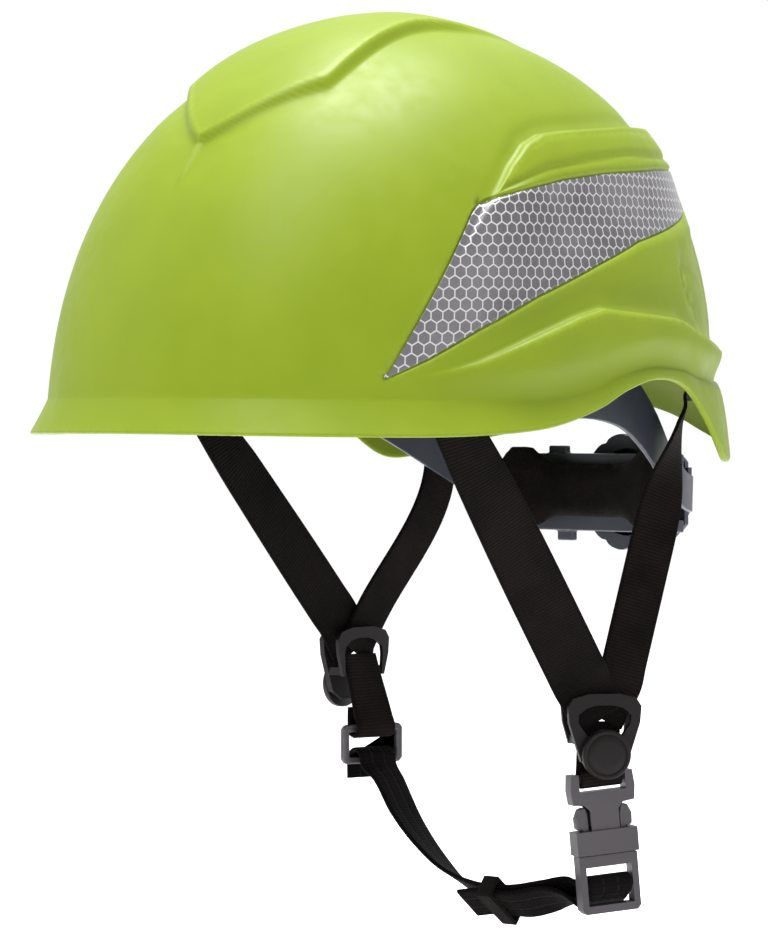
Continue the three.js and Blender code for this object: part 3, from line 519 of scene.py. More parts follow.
def flange(angle, down, inset=0.0):
    """Flange point: pushed out by FLANGE_OUT * down^bend between the crease and the rim."""
    degrees = np.degrees(np.abs(angle))
    top, bottom = crease(angle), rim(angle)
    p = dome(angle, top)
    out = curve(FLANGE_OUT, degrees) * down ** curve(FLANGE_BEND, degrees) - inset
    z = top + (bottom - top) * down
    return np.stack([p[..., 0] + out * np.sin(angle), p[..., 1] - out * np.cos(angle), z], -1)


def shell_rings():
    """Rings of points from the outer crown, down, round the rim and up to the inner crown."""
    a = column_angles()
    side_z = side_rows(a)[::-1]
    crown_z = rows_between(SHOULDER + 0 * a, TOP - 0.002, CROWN_ROWS + 1)[::-1][:-1]
    outer_z = np.vstack([crown_z, side_z])
    outer = skin_point(np.broadcast_to(a, outer_z.shape), outer_z)
    lip = [flange(a, d)[None] for d in (0.04, 0.1, 0.2, 0.35, 0.5, 0.65, 0.8, 0.9, 0.97)]
    middle = flange(a, 1.0, WALL / 2)
    outward = np.stack([np.sin(a), -np.cos(a), 0 * a], -1)
    turn = np.radians([15, 50, 90, 130, 165])
    round_rim = [middle + outward * (WALL / 2) * math.cos(t) - [0, 0, 0.9 * math.sin(t)] for t in turn]
    inside = [flange(a, d, WALL)[None] for d in (0.95, 0.7, 0.45, 0.2)]
    inner_z = rows_between(crease(a) + 1, TOP - 0.01, INNER_ROWS)
    turned = np.broadcast_to(a, inner_z.shape)
    inner = dome(turned, inner_z) - dome_normal(turned, inner_z) * WALL
    return np.concatenate([outer, *lip, np.array(round_rim), *inside, inner])


def closed_tube(name, rings, poles=None):
    """A closed skin over rings of points, with a fan of triangles to a pole at each end. A
    pole is the middle of its ring unless both poles are given."""
    rings = np.asarray(rings, float)
    rows, columns = rings.shape[:2]
    poles = [rings[0].mean(0), rings[-1].mean(0)] if poles is None else poles
    points = np.vstack([rings.reshape(-1, 3), *poles])
    first_pole, last_pole, last_row = rows * columns, rows * columns + 1, (rows - 1) * columns
    ring = np.arange(columns)
    after = np.roll(ring, -1)
    first_fan = np.stack([np.full(columns, first_pole), after, ring], 1)
    last_fan = np.stack([np.full(columns, last_pole), last_row + ring, last_row + after], 1)
    sides = grid_faces(rows, columns, wrap_columns=True)
    piece = new_piece(name, points * MM, sides, first_fan, last_fan)
    face_outward(piece)
    return piece


shell = place(closed_tube("shell_moulding", shell_rings()), "helmet", "shell", slot="shell_plastic")
print("shell:", len(shell.data.polygons), "faces")

# %% [markdown]
# ## Finishes
# A moulded plastic is never one flat colour: it has a fine eroded grain, slow changes of
# gloss and paler edges, partly polished wear and partly a painted highlight where rims catch
# the light. Each finish starts from the same few building blocks: a mottle between two near
# colours, a grain that tilts the normal, and that paler edge paint on the faces that an `edge`
# attribute marks. Even values are typed straight into the shader.

# %% Material helpers


def start_finish(name, roughness, metallic=0.0, **even):
    """A new node material; `even` gives sockets whose value is the same everywhere."""
    material = bpy.data.materials.new(name)
    material.use_nodes = True
    shader = material.node_tree.nodes["Principled BSDF"]
    shader.inputs["Roughness"].default_value = roughness
    shader.inputs["Metallic"].default_value = metallic
    for socket, value in even.items():
        shader.inputs[socket.replace("_", " ")].default_value = value
    return material, shader


def node(material, kind, **settings):
    """Add a node; settings name its properties."""
    made = material.node_tree.nodes.new("ShaderNode" + kind)
    for key, value in settings.items():
        setattr(made, key, value)
    return made


def feed(material, socket, value):
    """Give a socket a number, a vector or another node's output."""
    if isinstance(value, bpy.types.NodeSocket):
        material.node_tree.links.new(value, socket)
    else:
        socket.default_value = value


def calc(material, operation, *values):
    """A Math node's result."""
    made = node(material, "Math", operation=operation)
    for socket, value in zip(made.inputs, values):
        feed(material, socket, value)
    return made.outputs[0]


def vector_calc(material, operation, *values):
    """A Vector Math node's vector result, or its number for a dot product."""
    made = node(material, "VectorMath", operation=operation)
    for socket, value in zip(made.inputs, values):
        feed(material, socket, value)
    return made.outputs["Value" if operation == "DOT_PRODUCT" else "Vector"]


def times(material, *values):
    """Two numbers multiplied."""
    return calc(material, "MULTIPLY", *values)


def blend_colour(material, amount, first, second):
    """Mix two colours; each is an (r, g, b) or an output."""
    mix = node(material, "Mix", data_type="RGBA")
    feed(material, mix.inputs["Factor"], amount)
    for socket, colour in ((mix.inputs[6], first), (mix.inputs[7], second)):
        feed(material, socket, (*colour, 1) if isinstance(colour, tuple) else colour)
    return mix.outputs[2]


def where(material, kind="Object"):
    """Object coordinates in metres, or the piece's own UV map."""
    return node(material, "TexCoord").outputs[kind]


def noise(material, scale, detail=2.0, rough=0.5, vector=None):
    """Noise with features about 1/scale metres wide."""
    made = node(material, "TexNoise")
    feed(material, made.inputs["Vector"], vector or where(material))
    made.inputs["Scale"].default_value = scale
    made.inputs["Detail"].default_value = detail
    made.inputs["Roughness"].default_value = rough
    return made.outputs["Fac"]


def spread(material, value, low, high, out_low=0.0, out_high=1.0):
    """Stretch a number from one range to another and clamp it."""
    made = node(material, "MapRange")
    for socket, number in zip(made.inputs, (value, low, high, out_low, out_high)):
        feed(material, socket, number)
    return made.outputs[0]


def bump(material, shader, height, depth, strength=1.0):
    """Tilt the shading normal by a height pattern `depth` metres deep."""
    made = node(material, "Bump")
    made.inputs["Strength"].default_value = strength
    made.inputs["Distance"].default_value = depth
    feed(material, made.inputs["Height"], height)
    feed(material, shader.inputs["Normal"], made.outputs[0])


def dress(piece, material):
    """Give a piece or a kept node one material."""
    piece.data.materials.clear()
    piece.data.materials.append(material)
    return piece


def moulded(name, dark, light, roughness, grain=2600.0, depth=0.00003, edge=None, **even):
    """Moulded plastic: a slow mottle, fine grain, uneven gloss and paler edges, part wear and part
    painted highlight.
    """
    material, shader = start_finish(name, roughness, **even)
    slow = noise(material, 35.0, detail=3.0)
    colour = blend_colour(material, spread(material, slow, 0.3, 0.7), dark, light)
    gloss = spread(material, noise(material, 140.0), 0.3, 0.7, roughness - 0.05, roughness + 0.06)
    if edge:
        mark = node(material, "Attribute", attribute_name="edge").outputs["Fac"]
        patchy = spread(material, noise(material, 420.0), 0.35, 0.65, 0.25, 0.9)
        # Paler edges: partly wear, partly a painted highlight along the rims that catch the light.
        edge_wear_and_highlight = times(material, mark, patchy)
        colour = blend_colour(material, edge_wear_and_highlight, colour, edge)
        gloss = calc(material, "SUBTRACT", gloss, times(material, edge_wear_and_highlight, 0.08))
    feed(material, shader.inputs["Base Color"], colour)
    feed(material, shader.inputs["Roughness"], gloss)
    bump(material, shader, noise(material, grain, detail=3.0), depth, 0.5)
    return material


print("material helpers ready")

# %% Plastics and metal
# Each `edge` colour is the paler tint of ridges and rims: partly wear, partly painted highlight.
LIME = moulded(
    "lime_shell_plastic", (0.124, 0.176, 0.002), (0.137, 0.19, 0.003), 0.47,
    grain=1900.0, depth=0.00002, edge=(0.16, 0.217, 0.008), Specular_IOR_Level=0.2,
)
BLUE_GREY = moulded(
    "suspension_plastic", (0.02, 0.023, 0.033), (0.03, 0.034, 0.047), 0.45,
    edge=(0.055, 0.06, 0.072), Specular_IOR_Level=0.3,
)
SOFT_BLACK = moulded(
    "divider_plastic", (0.0042, 0.0031, 0.0031), (0.0062, 0.0046, 0.0046), 0.48,
    edge=(0.011, 0.009, 0.009), Specular_IOR_Level=0.14,
)
BUCKLE_GREY = moulded(
    "buckle_plastic", (0.03, 0.0255, 0.031), (0.039, 0.034, 0.0405), 0.42,
    edge=(0.075, 0.07, 0.08), Specular_IOR_Level=0.35,
)


def brushed_steel():
    """Spring steel: fine scratches drawn out along the ring by squashing the noise."""
    material, shader = start_finish("spring_steel", 0.3, metallic=1.0)
    mapping = node(material, "Mapping")
    mapping.inputs["Scale"].default_value = (1, 14, 1)
    feed(material, mapping.inputs["Vector"], where(material))
    streaks = noise(material, 900.0, detail=4.0, vector=mapping.outputs[0])
    colour = blend_colour(material, streaks, (0.32, 0.32, 0.34), (0.5, 0.5, 0.52))
    feed(material, shader.inputs["Base Color"], colour)
    feed(material, shader.inputs["Roughness"], spread(material, streaks, 0.3, 0.7, 0.22, 0.42))
    bump(material, shader, streaks, 0.00001)
    return material


STEEL = brushed_steel()
dress(shell, LIME)
print("plastics:", [m.name for m in (LIME, BLUE_GREY, SOFT_BLACK, BUCKLE_GREY, STEEL)])

# %% [markdown]
# A moulding catches light and wear along its ridges, and the shell's ridges are painted paler
# for both: partly as wear, partly as a painted highlight. They are found from the same height
# function that shaped the shell: where the height changes quickly over a millimetre and stands
# proud, the `edge` attribute rises towards one.

# %% Paler ridges on the shell: wear and painted highlight


def ridge_amount(points):
    """How far each point stands above the average of its surroundings, from 0 to 1."""
    x, y, z = points.T
    u = height_share(z)
    angle = np.arctan2(x, -(y - LEAN * u))
    s = girth(angle)
    here = side_height(s, z)
    reach = 2
    around = [(reach, 0), (-reach, 0), (0, reach), (0, -reach)]
    ring = [side_height(s + dx, z + dz) for dx, dz in around]
    proud = np.clip((here - np.mean(ring, axis=0)) / 0.5, 0, 1)
    crown = tongue_height(x, y) - (tongue_height(x + reach, y) + tongue_height(x - reach, y)) / 2
    crown = np.where(z > 90, np.clip(crown / 0.6, 0, 1), 0)
    lip = step(1.6, 0.2, z - rim(angle)) * 0.6
    return np.maximum.reduce([proud * step(3, 14, z - crease(angle)), crown, lip])


def mark_edges(piece, amounts):
    """Store one number per point as the `edge` attribute."""
    layer = piece.data.attributes.new("edge", "FLOAT", "POINT")
    layer.data.foreach_set("value", amounts.astype(np.float32))


def points_of(piece):
    """The mesh's points as an (n, 3) array in metres."""
    flat = np.zeros(len(piece.data.vertices) * 3, np.float32)
    piece.data.vertices.foreach_get("co", flat)
    return flat.reshape(-1, 3).astype(float)


mark_edges(shell, ridge_amount(points_of(shell) / MM))
print("ridges marked")

# %% [markdown]
# ## Reflective film
# The film is a thin retroreflective sheet stuck in a shallow pocket. Under its clear face,
# glass beads or prisms are sealed into small hexagonal cells by a pale grid. The sheet is
# the shell's own surface lifted a little, so it follows every curve, and its UV map holds
# true distances, so the cells stay regular.

# %% Film
FRONT_COLUMNS, REAR_COLUMNS, FILM_ROWS = 60, 90, 30
FILM_THICK, GLUE_GAP, FILM_INSET, CELL = 0.35, 0.12, 0.3, 4.5
ROOT_3 = math.sqrt(3)


def film_points(side, lift):
    """Grid of points over the film's outline, `lift` above the pocket's floor."""
    front = np.linspace(FILM_START + 0.4, FILM_CORNER + 1, FRONT_COLUMNS)
    rear = np.linspace(FILM_CORNER + 1.5, FILM_END - 0.5, REAR_COLUMNS)
    s = np.concatenate([front, rear])
    low = height_on(FILM_LOW, s) + FILM_INSET
    high = np.maximum(height_on(FILM_HIGH, s) - FILM_INSET, low + 0.1)
    t = np.linspace(0, 1, FILM_ROWS)[:, None]
    z = low + (high - low) * t
    wide = np.broadcast_to(s, z.shape)
    p = skin_point(angle_at(wide), z, lift)
    climb = np.linalg.norm(np.diff(p, axis=0), axis=-1)
    rise = np.concatenate([low[None], low + np.cumsum(climb, axis=0)])
    return p * [side, 1, 1], np.stack([wide, rise], -1)


def build_film(name, side):
    """Top sheet, bottom sheet and the edge between them."""
    top, flat = film_points(side, GLUE_GAP + FILM_THICK)
    bottom = film_points(side, GLUE_GAP)[0]
    rows, columns = top.shape[:2]
    count = rows * columns
    index = np.arange(count).reshape(rows, columns)
    border = np.concatenate([index[0], index[1:, -1], index[-1, -2::-1], index[-2:0:-1, 0]])
    after = np.roll(border, -1)
    walls = np.stack([border, after, after + count, border + count], 1)
    points = np.concatenate([top.reshape(-1, 3), bottom.reshape(-1, 3)]) * MM
    uv = np.concatenate([flat.reshape(-1, 2)] * 2) * MM
    sheets = grid_faces(rows, columns), grid_faces(rows, columns, start=count)
    piece = new_piece(name, points, *sheets, walls, uv=uv)
    face_outward(piece)
    return piece


def film_finish():
    """Grey cells inside a pale grid: distance to the nearest centre of two interleaved lattices."""
    material, shader = start_finish(
        "reflective_film", 0.34, metallic=0.3, Coat_Weight=0.2, Coat_Roughness=0.12)
    flat = vector_calc(material, "DIVIDE", where(material, "UV"), (CELL * MM, CELL * MM, 1.0))
    lattice, side_ways = (1.0, ROOT_3, 1.0), ((1.0, 0.0, 0.0), (0.5, ROOT_3 / 2, 0.0))
    reaches = []
    for shift in ((50.0, 50.0, 0.0), (50.5, 50.0 + ROOT_3 / 2, 0.0)):
        wrapped = vector_calc(material, "MODULO", vector_calc(material, "ADD", flat, shift), lattice)
        centred = vector_calc(material, "SUBTRACT", wrapped, (0.5, ROOT_3 / 2, 0.0))
        folded = vector_calc(material, "ABSOLUTE", centred)
        away = vector_calc(material, "MULTIPLY", folded, (1.0, 1.0, 0.0))
        flats = [vector_calc(material, "DOT_PRODUCT", away, way) for way in side_ways]
        reaches.append(calc(material, "MAXIMUM", *flats))
    inner = calc(material, "MINIMUM", *reaches)
    grid = spread(material, inner, 0.43, 0.46)
    rimmed = spread(material, inner, 0.3, 0.43)
    cloud = spread(material, noise(material, 28.0, detail=3.0), 0.35, 0.7)
    cell = blend_colour(material, cloud, (0.045, 0.042, 0.046), (0.11, 0.105, 0.112))
    cell = blend_colour(material, times(material, rimmed, 0.3), cell, (0.08, 0.078, 0.08))
    # Painted glints: tiny pale specks over the cells stand for light glinting off the beads.
    painted_glint = spread(material, noise(material, 5200.0, detail=1.0), 0.45, 0.75, 0.0, 0.2)
    cell = blend_colour(material, painted_glint, cell, (0.4, 0.39, 0.4))
    feed(material, shader.inputs["Base Color"], blend_colour(material, grid, cell, (0.36, 0.35, 0.362)))
    feed(material, shader.inputs["Roughness"], spread(material, grid, 0.0, 1.0, 0.32, 0.55))
    bump(material, shader, grid, 0.00008, 0.6)
    return material


FILM = film_finish()
for side_name, side in (("left", 1), ("right", -1)):
    film = build_film("film_" + side_name, side)
    place(film, "helmet", "sticker_" + side_name, slot="reflective_film")
    dress(film, FILM)
print("film cells are", CELL, "mm apart")

# %% [markdown]
# ## Pads
# The brow pad and the nape pad are foam under a plush cover. Each starts as a smooth tube a
# little smaller than the finished pad. It is then closed in an even mesh and blown up as
# cloth under slight pressure, which gives the full, slightly uneven face of a stuffed pad.

# %% Pad helpers


def finish_modifiers(piece):
    """Apply every modifier at the current frame by keeping the evaluated mesh."""
    evaluated = piece.evaluated_get(bpy.context.evaluated_depsgraph_get())
    mesh = bpy.data.meshes.new_from_object(evaluated)
    piece.modifiers.clear()
    piece.data = mesh
    mesh.polygons.foreach_set("use_smooth", np.full(len(mesh.polygons), True))


def puffed(piece, cap, voxel=0.0025, frames=16):
    """Inflate a pad as cloth; no point moves further than `cap` millimetres."""
    remesh = piece.modifiers.new("even", "REMESH")
    remesh.mode, remesh.voxel_size = "VOXEL", voxel
    finish_modifiers(piece)
    start = points_of(piece)
    cloth = piece.modifiers.new("cloth", "CLOTH")
    cloth.settings.use_pressure = True
    cloth.settings.uniform_pressure_force = 4.0
    cloth.settings.effector_weights.gravity = 0.0
    cloth.settings.quality = 5
    cloth.point_cache.frame_start, cloth.point_cache.frame_end = 1, frames
    for frame_number in range(1, frames + 1):
        bpy.context.scene.frame_set(frame_number)
    finish_modifiers(piece)
    bpy.context.scene.frame_set(1)
    move = points_of(piece) - start
    size = np.linalg.norm(move, axis=1, keepdims=True)
    kept = start + move * np.minimum(1, cap * MM / np.maximum(size, 1e-9))
    piece.data.vertices.foreach_set("co", kept.astype(np.float32).ravel())
    piece.modifiers.new("smooth", "SUBSURF").levels = 1
    finish_modifiers(piece)
    print(piece.name, "moved up to", round(float(size.max() / MM), 2), "mm, kept to", cap)
    return piece


def plush(name, dark, light):
    """Short pile: soft blotches where it lies differently, and a fine fuzzy height."""
    material, shader = start_finish(
        name, 0.92, Sheen_Weight=0.03, Sheen_Roughness=0.5, Specular_IOR_Level=0.05)
    lie = spread(material, noise(material, 130.0, detail=4.0), 0.35, 0.7)
    pile = noise(material, 1700.0, detail=3.0)
    tuft = spread(material, pile, 0.3, 0.7, 0.3, 1.1)
    tone = times(material, calc(material, "ADD", lie, 0.3), tuft)
    feed(material, shader.inputs["Base Color"], blend_colour(material, tone, dark, light))
    bump(material, shader, pile, 0.0006, 0.9)
    return material


PLUSH = plush("plush_cover", (0.0015, 0.001, 0.0008), (0.0055, 0.0038, 0.0031))
KNIT = plush("keeper_elastic", (0.002, 0.0015, 0.0014), (0.007, 0.0054, 0.0051))
print("pad helpers ready")

# %% Brow pad and nape pad
BAND_SHAPE, BAND_CENTRE = (95, 76, 2.2), 4
BROW_TURN, BROW_HALF_TALL, BROW_HALF_DEEP, BROW_INSET, BROW_Z = 44, 15.0, 1.7, 4.2, 24
NAPE_HALF_WIDE, NAPE_WAIST, NAPE_LOBE, NAPE_HALF_DEEP, NAPE_Y, NAPE_Z = 45.2, 11.6, 6.6, 2.6, 115.5, -24


def band_point(degrees, inset):
    """The headband's line in plan, moved inwards."""
    a = np.radians(degrees)
    half_length, half_width, boxiness = BAND_SHAPE
    r = plan_radius(a, half_length - inset, half_width - inset, boxiness)
    return np.stack([r * np.sin(a), BAND_CENTRE - r * np.cos(a)], -1)


def brow_pad():
    """A flat cushion inside the front of the headband, thinner towards its ends."""
    rings = []
    t = circle(24)
    for degrees in np.linspace(-BROW_TURN, BROW_TURN, 45):
        end = math.sqrt(max(0.02, 1 - (abs(degrees) / (BROW_TURN + 1)) ** 8))
        deep = power(np.cos(t), 0.7) * BROW_HALF_DEEP * end
        tall = power(np.sin(t), 0.5) * BROW_HALF_TALL * end
        flat = band_point(np.full(len(t), degrees), BROW_INSET - deep)
        rings.append(np.column_stack([flat, BROW_Z + tall]))
    return closed_tube("brow_cushion", rings)


def nape_cushion():
    """Two tall lobes joined by a waist, bent round the back of the neck."""
    rings = []
    t = circle(28)
    for x in np.linspace(-NAPE_HALF_WIDE, NAPE_HALF_WIDE, 61):
        lobe = np.clip((abs(x) - 14) / 20, 0, 1)
        end = math.sqrt(max(0.03, 1 - max(0, (abs(x) - 32) / 14) ** 2))
        half = (NAPE_WAIST + NAPE_LOBE * math.sin(lobe * math.pi / 2) ** 2) * end
        middle = NAPE_Y - x * x / 260
        y = middle + power(np.cos(t), 0.75) * NAPE_HALF_DEEP * math.sqrt(end)
        z = NAPE_Z + power(np.sin(t), 0.6) * half
        rings.append(np.column_stack([np.full(len(t), x), y, z]))
    return closed_tube("nape_cushion", rings)


PADS = [(brow_pad, "helmet", "brow_pad"), (nape_cushion, "nape_unit", "nape_pad")]
for build_pad, body, node_name in PADS:
    pad = dress(puffed(build_pad(), cap=1.0), PLUSH)
    place(pad, body, node_name, slot="padding")
print("pads inflated")

# %% [markdown]
# ## Webbing
# The harness is flat polyester webbing: cross ribs from the weft, two firmer selvedges and
# a flat section 1.3 to 1.8 mm thick. Every strap is the same recipe: a
# list of stations (a centre point and the direction of the width), a smooth curve through
# them, and a rounded section swept along it. The UV map keeps true distances, so ribs and
# stitches have the same size on every strap.

# %% Spots on the harness
# A spot is a plane on the harness: its centre, its turn in plan and its tilt.
LEFT = (65, 48, -111, 58, 0)
BUCKLE = (60.8, 50.6, -127.5, 62, 5)
RIGHT = (-65, 48, -91, -90, 0)
RING = (-53, 48, -115, -100, 0)
WEB_THICK, FRONT_WIDTH, REAR_WIDTH = 1.4, 22, 17


def heading(degrees):
    """Unit vector in plan."""
    return np.array([math.cos(math.radians(degrees)), math.sin(math.radians(degrees)), 0])


def at_spot(spot, u, n, z):
    """A point u along the width, n out of the plane and z up, from a spot's centre."""
    x, y, height, turn, lean = spot
    c, s = math.cos(math.radians(lean)), math.sin(math.radians(lean))
    out = np.array([heading(turn)[1], -heading(turn)[0], 0])
    flat = (u * c - z * s) * heading(turn) + n * out
    return np.array([x, y, height + u * s + z * c]) + flat


def across_spot(spot):
    """Direction of the width at a spot."""
    return at_spot(spot, 1, 0, 0) - at_spot(spot, 0, 0, 0)


def section(width, thick):
    """Half the outline of a strap: across position and half thickness, with soft selvedges."""
    u = width / 2 * np.sin(np.linspace(-np.pi / 2, np.pi / 2, 17))
    edge = np.clip((width / 2 - np.abs(u)) / (0.55 * thick), 0, 1)
    half = thick / 2 * np.sqrt(1 - (1 - edge) ** 2) * 0.97
    return u, half


def ribbon(name, stations, width, thick=WEB_THICK, spacing=1.4):
    """Sweep the section along stations of (point, width direction, squareness)."""
    rows = np.array([[*p, *side, square] for p, side, square in stations], float)
    rows = smooth_line(rows, spacing)
    path, side, square = rows[:, :3], rows[:, 3:6], rows[:, 6:7]
    along = unit(np.gradient(path, axis=0))
    side = unit(side - along * (side * along).sum(1, keepdims=True) * np.clip(square, 0, 1))
    out = unit(np.cross(along, side))
    u, half = section(width, thick)
    u, half = np.concatenate([u, u[-2:0:-1]]), np.concatenate([-half, half[-2:0:-1]])
    points = path[:, None] + side[:, None] * u[:, None] + out[:, None] * half[:, None]
    uv = np.stack(np.broadcast_arrays(u, run_along(path)[:, None]), -1)
    count, ring = points.shape[:2]
    i = np.arange(ring // 2 - 1)
    caps = np.arange(ring), np.arange(ring)[::-1] + (count - 1) * ring
    ends = np.vstack([np.stack([cap[i], cap[i + 1], cap[-i - 2], cap[-i - 1]], 1) for cap in caps])
    piece = new_piece(name, points * MM, grid_faces(count, ring, wrap_columns=True), ends, uv=uv * MM)
    face_outward(piece)
    return piece


# Pitches and half widths in metres.
RIB_PITCH, YARN_PITCH, STITCH_PITCH, THREAD_HALF, DASH_HALF = 0.00125, 0.0009, 0.0028, 0.0003, 0.001
HEM_START, HEM_TALL, GROOVE_HALF = 0.026, 0.002, 0.0008


def stripe(material, value, pitch):
    """A wave between -1 and 1 that repeats every `pitch` metres."""
    return calc(material, "SINE", times(material, value, 2 * math.pi / pitch))


def stitches(material, across, along, gap):
    """1 on the thread: dashes in the two grooves, and a double row across the hem."""
    fold = calc(material, "PINGPONG", calc(material, "SUBTRACT", along, HEM_START), HEM_TALL)
    hem = calc(material, "COMPARE", fold, 0.0, THREAD_HALF)
    hem = times(material, hem, calc(material, "COMPARE", along, HEM_START + 0.001, 0.003))
    step_along = calc(material, "FLOORED_MODULO", along, STITCH_PITCH)
    middle = calc(material, "ABSOLUTE", calc(material, "SUBTRACT", step_along, STITCH_PITCH / 2))
    dash = calc(material, "LESS_THAN", middle, DASH_HALF)
    thread = times(material, calc(material, "LESS_THAN", gap, THREAD_HALF), dash)
    cross = calc(material, "LESS_THAN", calc(material, "FLOORED_MODULO", across, 0.0024), 0.0017)
    return calc(material, "MAXIMUM", thread, times(material, hem, cross))


def webbing_finish(name, dark, light, width, quilted=False):
    """Cross ribs with a painted highlight on their tops and painted shade between them, fine yarns,
    darker selvedges and, on quilted straps, stitched grooves with painted shade in them.
    """
    material, shader = start_finish(
        name, 0.78, Sheen_Weight=0.02, Sheen_Roughness=0.4, Specular_IOR_Level=0.05)
    split = node(material, "SeparateXYZ")
    feed(material, split.inputs[0], where(material, "UV"))
    across, along = split.outputs[0], split.outputs[1]
    ribs, yarns = stripe(material, along, RIB_PITCH), stripe(material, across, YARN_PITCH)
    weave = calc(material, "ADD", times(material, ribs, 0.35), times(material, yarns, 0.15))
    height = calc(material, "ADD", weave, 0.5)
    off = calc(material, "ABSOLUTE", across)
    selvedge = spread(material, off, (width / 2 - 1.5) * MM, (width / 2 - 1.0) * MM)
    fuzz = noise(material, 2400.0, detail=2.0)
    slow = spread(material, noise(material, 60.0, detail=3.0), 0.3, 0.7)
    # Painted light on the weave: the rib tops are painted paler as a highlight and the hollows darker as
    # shade; the slow mottle and the fuzz are the yarn's own uneven tone.
    tone = spread(material, height, 0.1, 0.9, 0.35, 1.0)
    tone = times(material, tone, calc(material, "ADD", slow, 0.4))
    tone = times(material, tone, spread(material, fuzz, 0.3, 0.7, 0.7, 1.2))
    colour = blend_colour(material, tone, dark, light)
    colour = blend_colour(material, times(material, selvedge, 0.5), colour, dark)
    if quilted:
        gap = calc(material, "ABSOLUTE", calc(material, "SUBTRACT", off, width / 6 * MM))
        groove = spread(material, gap, 0.0, GROOVE_HALF, 1.0, 0.0)
        thread = stitches(material, across, along, gap)
        height = calc(material, "SUBTRACT", height, times(material, groove, 1.4))
        height = calc(material, "ADD", height, times(material, thread, 0.8))
        # Painted shade: the stitched grooves are painted darker, as shade falls in them; the thread keeps
        # its own paler colour.
        groove_painted_shade = times(material, groove, 0.6)
        colour = blend_colour(material, groove_painted_shade, colour, (0.003, 0.0025, 0.0025))
        colour = blend_colour(material, thread, colour, (0.008, 0.0068, 0.0068))
    feed(material, shader.inputs["Base Color"], colour)
    bump(material, shader, height, 0.00022, 0.8)
    return material


# Each webbing's pale colour is the painted highlight on its rib tops; its dark end, also used for the
# selvedges, carries the painted shade in the hollows.
DARK, RIB_HIGHLIGHT_PALE = (0.0014, 0.001, 0.001), (0.0068, 0.0049, 0.0047)
WEB_FRONT = webbing_finish("webbing_wide", DARK, RIB_HIGHLIGHT_PALE, FRONT_WIDTH)
WEB_REAR = webbing_finish("webbing_narrow", DARK, (0.0088, 0.006, 0.0058), REAR_WIDTH)
WEB_CHIN = webbing_finish("webbing_chin", DARK, (0.0042, 0.0032, 0.0031), 17, quilted=True)
print("webbing finishes ready")

# %% [markdown]
# Each leg of a yoke loops round a pin inside the shell, leaves it at the back and falls in
# a flat run that twists until it lies against the divider. The rear legs finish their twist
# early, which keeps them clear of the nape arms at rest.

# %% Legs
ANCHOR_Z, PIN, PIN_CLEAR = 12, 1.5, 1.1
# Each anchor: its distance from the middle, its place along the helmet, its turn in degrees.
ANCHORS = {"front": (63, -32, 82), "rear": (66, 98, 130)}
# The share of its fall that a leg needs for its twist.
TWIST_SHARE = {("rear", 1): 0.5, ("rear", -1): 0.3}
FAR_BOW = np.array([-62.0, 96.0, -14.0])


def leg(name, side, end, spot, layer, bow=None):
    """One leg: the wrap round the pin, the twisting fall and the flat end at the divider."""
    x, y, turn = ANCHORS[end]
    width = FRONT_WIDTH if end == "front" else REAR_WIDTH
    twist = TWIST_SHARE.get((end, side), 0.9)
    lean = -1 if end == "front" else 1
    pin = heading(turn if side > 0 else 180 - turn)
    centre = np.array([side * x, y, ANCHOR_Z], float)
    entry = at_spot(spot, lean * side * 7, layer, 17)
    target = at_spot(spot, lean * 0.5, layer, 5)
    fall = (bow if bow is not None else entry) - centre
    down = unit(fall - pin * fall.dot(pin))
    out = np.cross(pin, down)
    wrap = PIN + PIN_CLEAR + WEB_THICK / 2
    turns = np.radians(np.linspace(-55, -305, 21))
    stations = [(centre + wrap * (down * math.cos(a) + out * math.sin(a)), pin, 0) for a in turns]
    face = heading(spot[3]) * (1 if pin.dot(heading(spot[3])) > 0 else -1)
    stops = [stations[-1][0]] + ([bow] if bow is not None else []) + [entry]
    line = smooth_line(np.array([[*p, 0] for p in stops]), 9.0)[1:, :3]
    for i, p in enumerate(line, 1):
        t = i / len(line)
        stations.append((p, pin + (face - pin) * step(0, twist, t), min(1, t * 3)))
    stations += [(entry + (target - entry) * t, face, 1) for t in (1 / 3, 2 / 3, 1)]
    return dress(ribbon(name, stations, width), WEB_FRONT if end == "front" else WEB_REAR)


for side_name, side, spot in (("left", 1, LEFT), ("right", -1, RIGHT)):
    for end, layer in (("front", -1.4), ("rear", -3.4)):
        bow = FAR_BOW if (end, side) == ("rear", -1) else None
        node_name = f"leg_{end}_{side_name}"
        piece = leg("webbing_" + node_name, side, end, spot, layer, bow)
        place(piece, side_name + "_yoke", node_name, slot="webbing")
print("four legs swept")

# %% [markdown]
# Below each divider a short loop carries the buckle or the ring. The chin strap is one
# quilted band: hemmed round the ring, run under the chin, turned round the buckle's
# crossbar and led back as a tail through a keeper.

# %% Loops and chin strap
CHIN_WIDTH, CHIN_THICK, RING_CLEAR, BAR_CLEAR = 16.8, 1.8, 4.2, 3.1
RING_BAR_Z, BUCKLE_BAR_Z = -12.3, -39.5
CHIN_RUN = [
    ((-44, 48, -134), (0.1, 0.97, -0.2)), ((-35, 48, -147), (0.1, 0.94, -0.3)),
    ((-22, 48, -160), (0.1, 0.9, -0.4)), ((-8, 48, -169.5), (0.1, 0.85, -0.5)),
    ((8, 48.5, -174.5), (0.1, 0.8, -0.6)), ((24, 50, -174.5), (0.15, 0.8, -0.58)),
    ((37, 53.5, -171.5), (0.3, 0.85, -0.4)),
]
TAIL_GAP, TAIL_TIP = 2.9, (0, 45.4, -178)


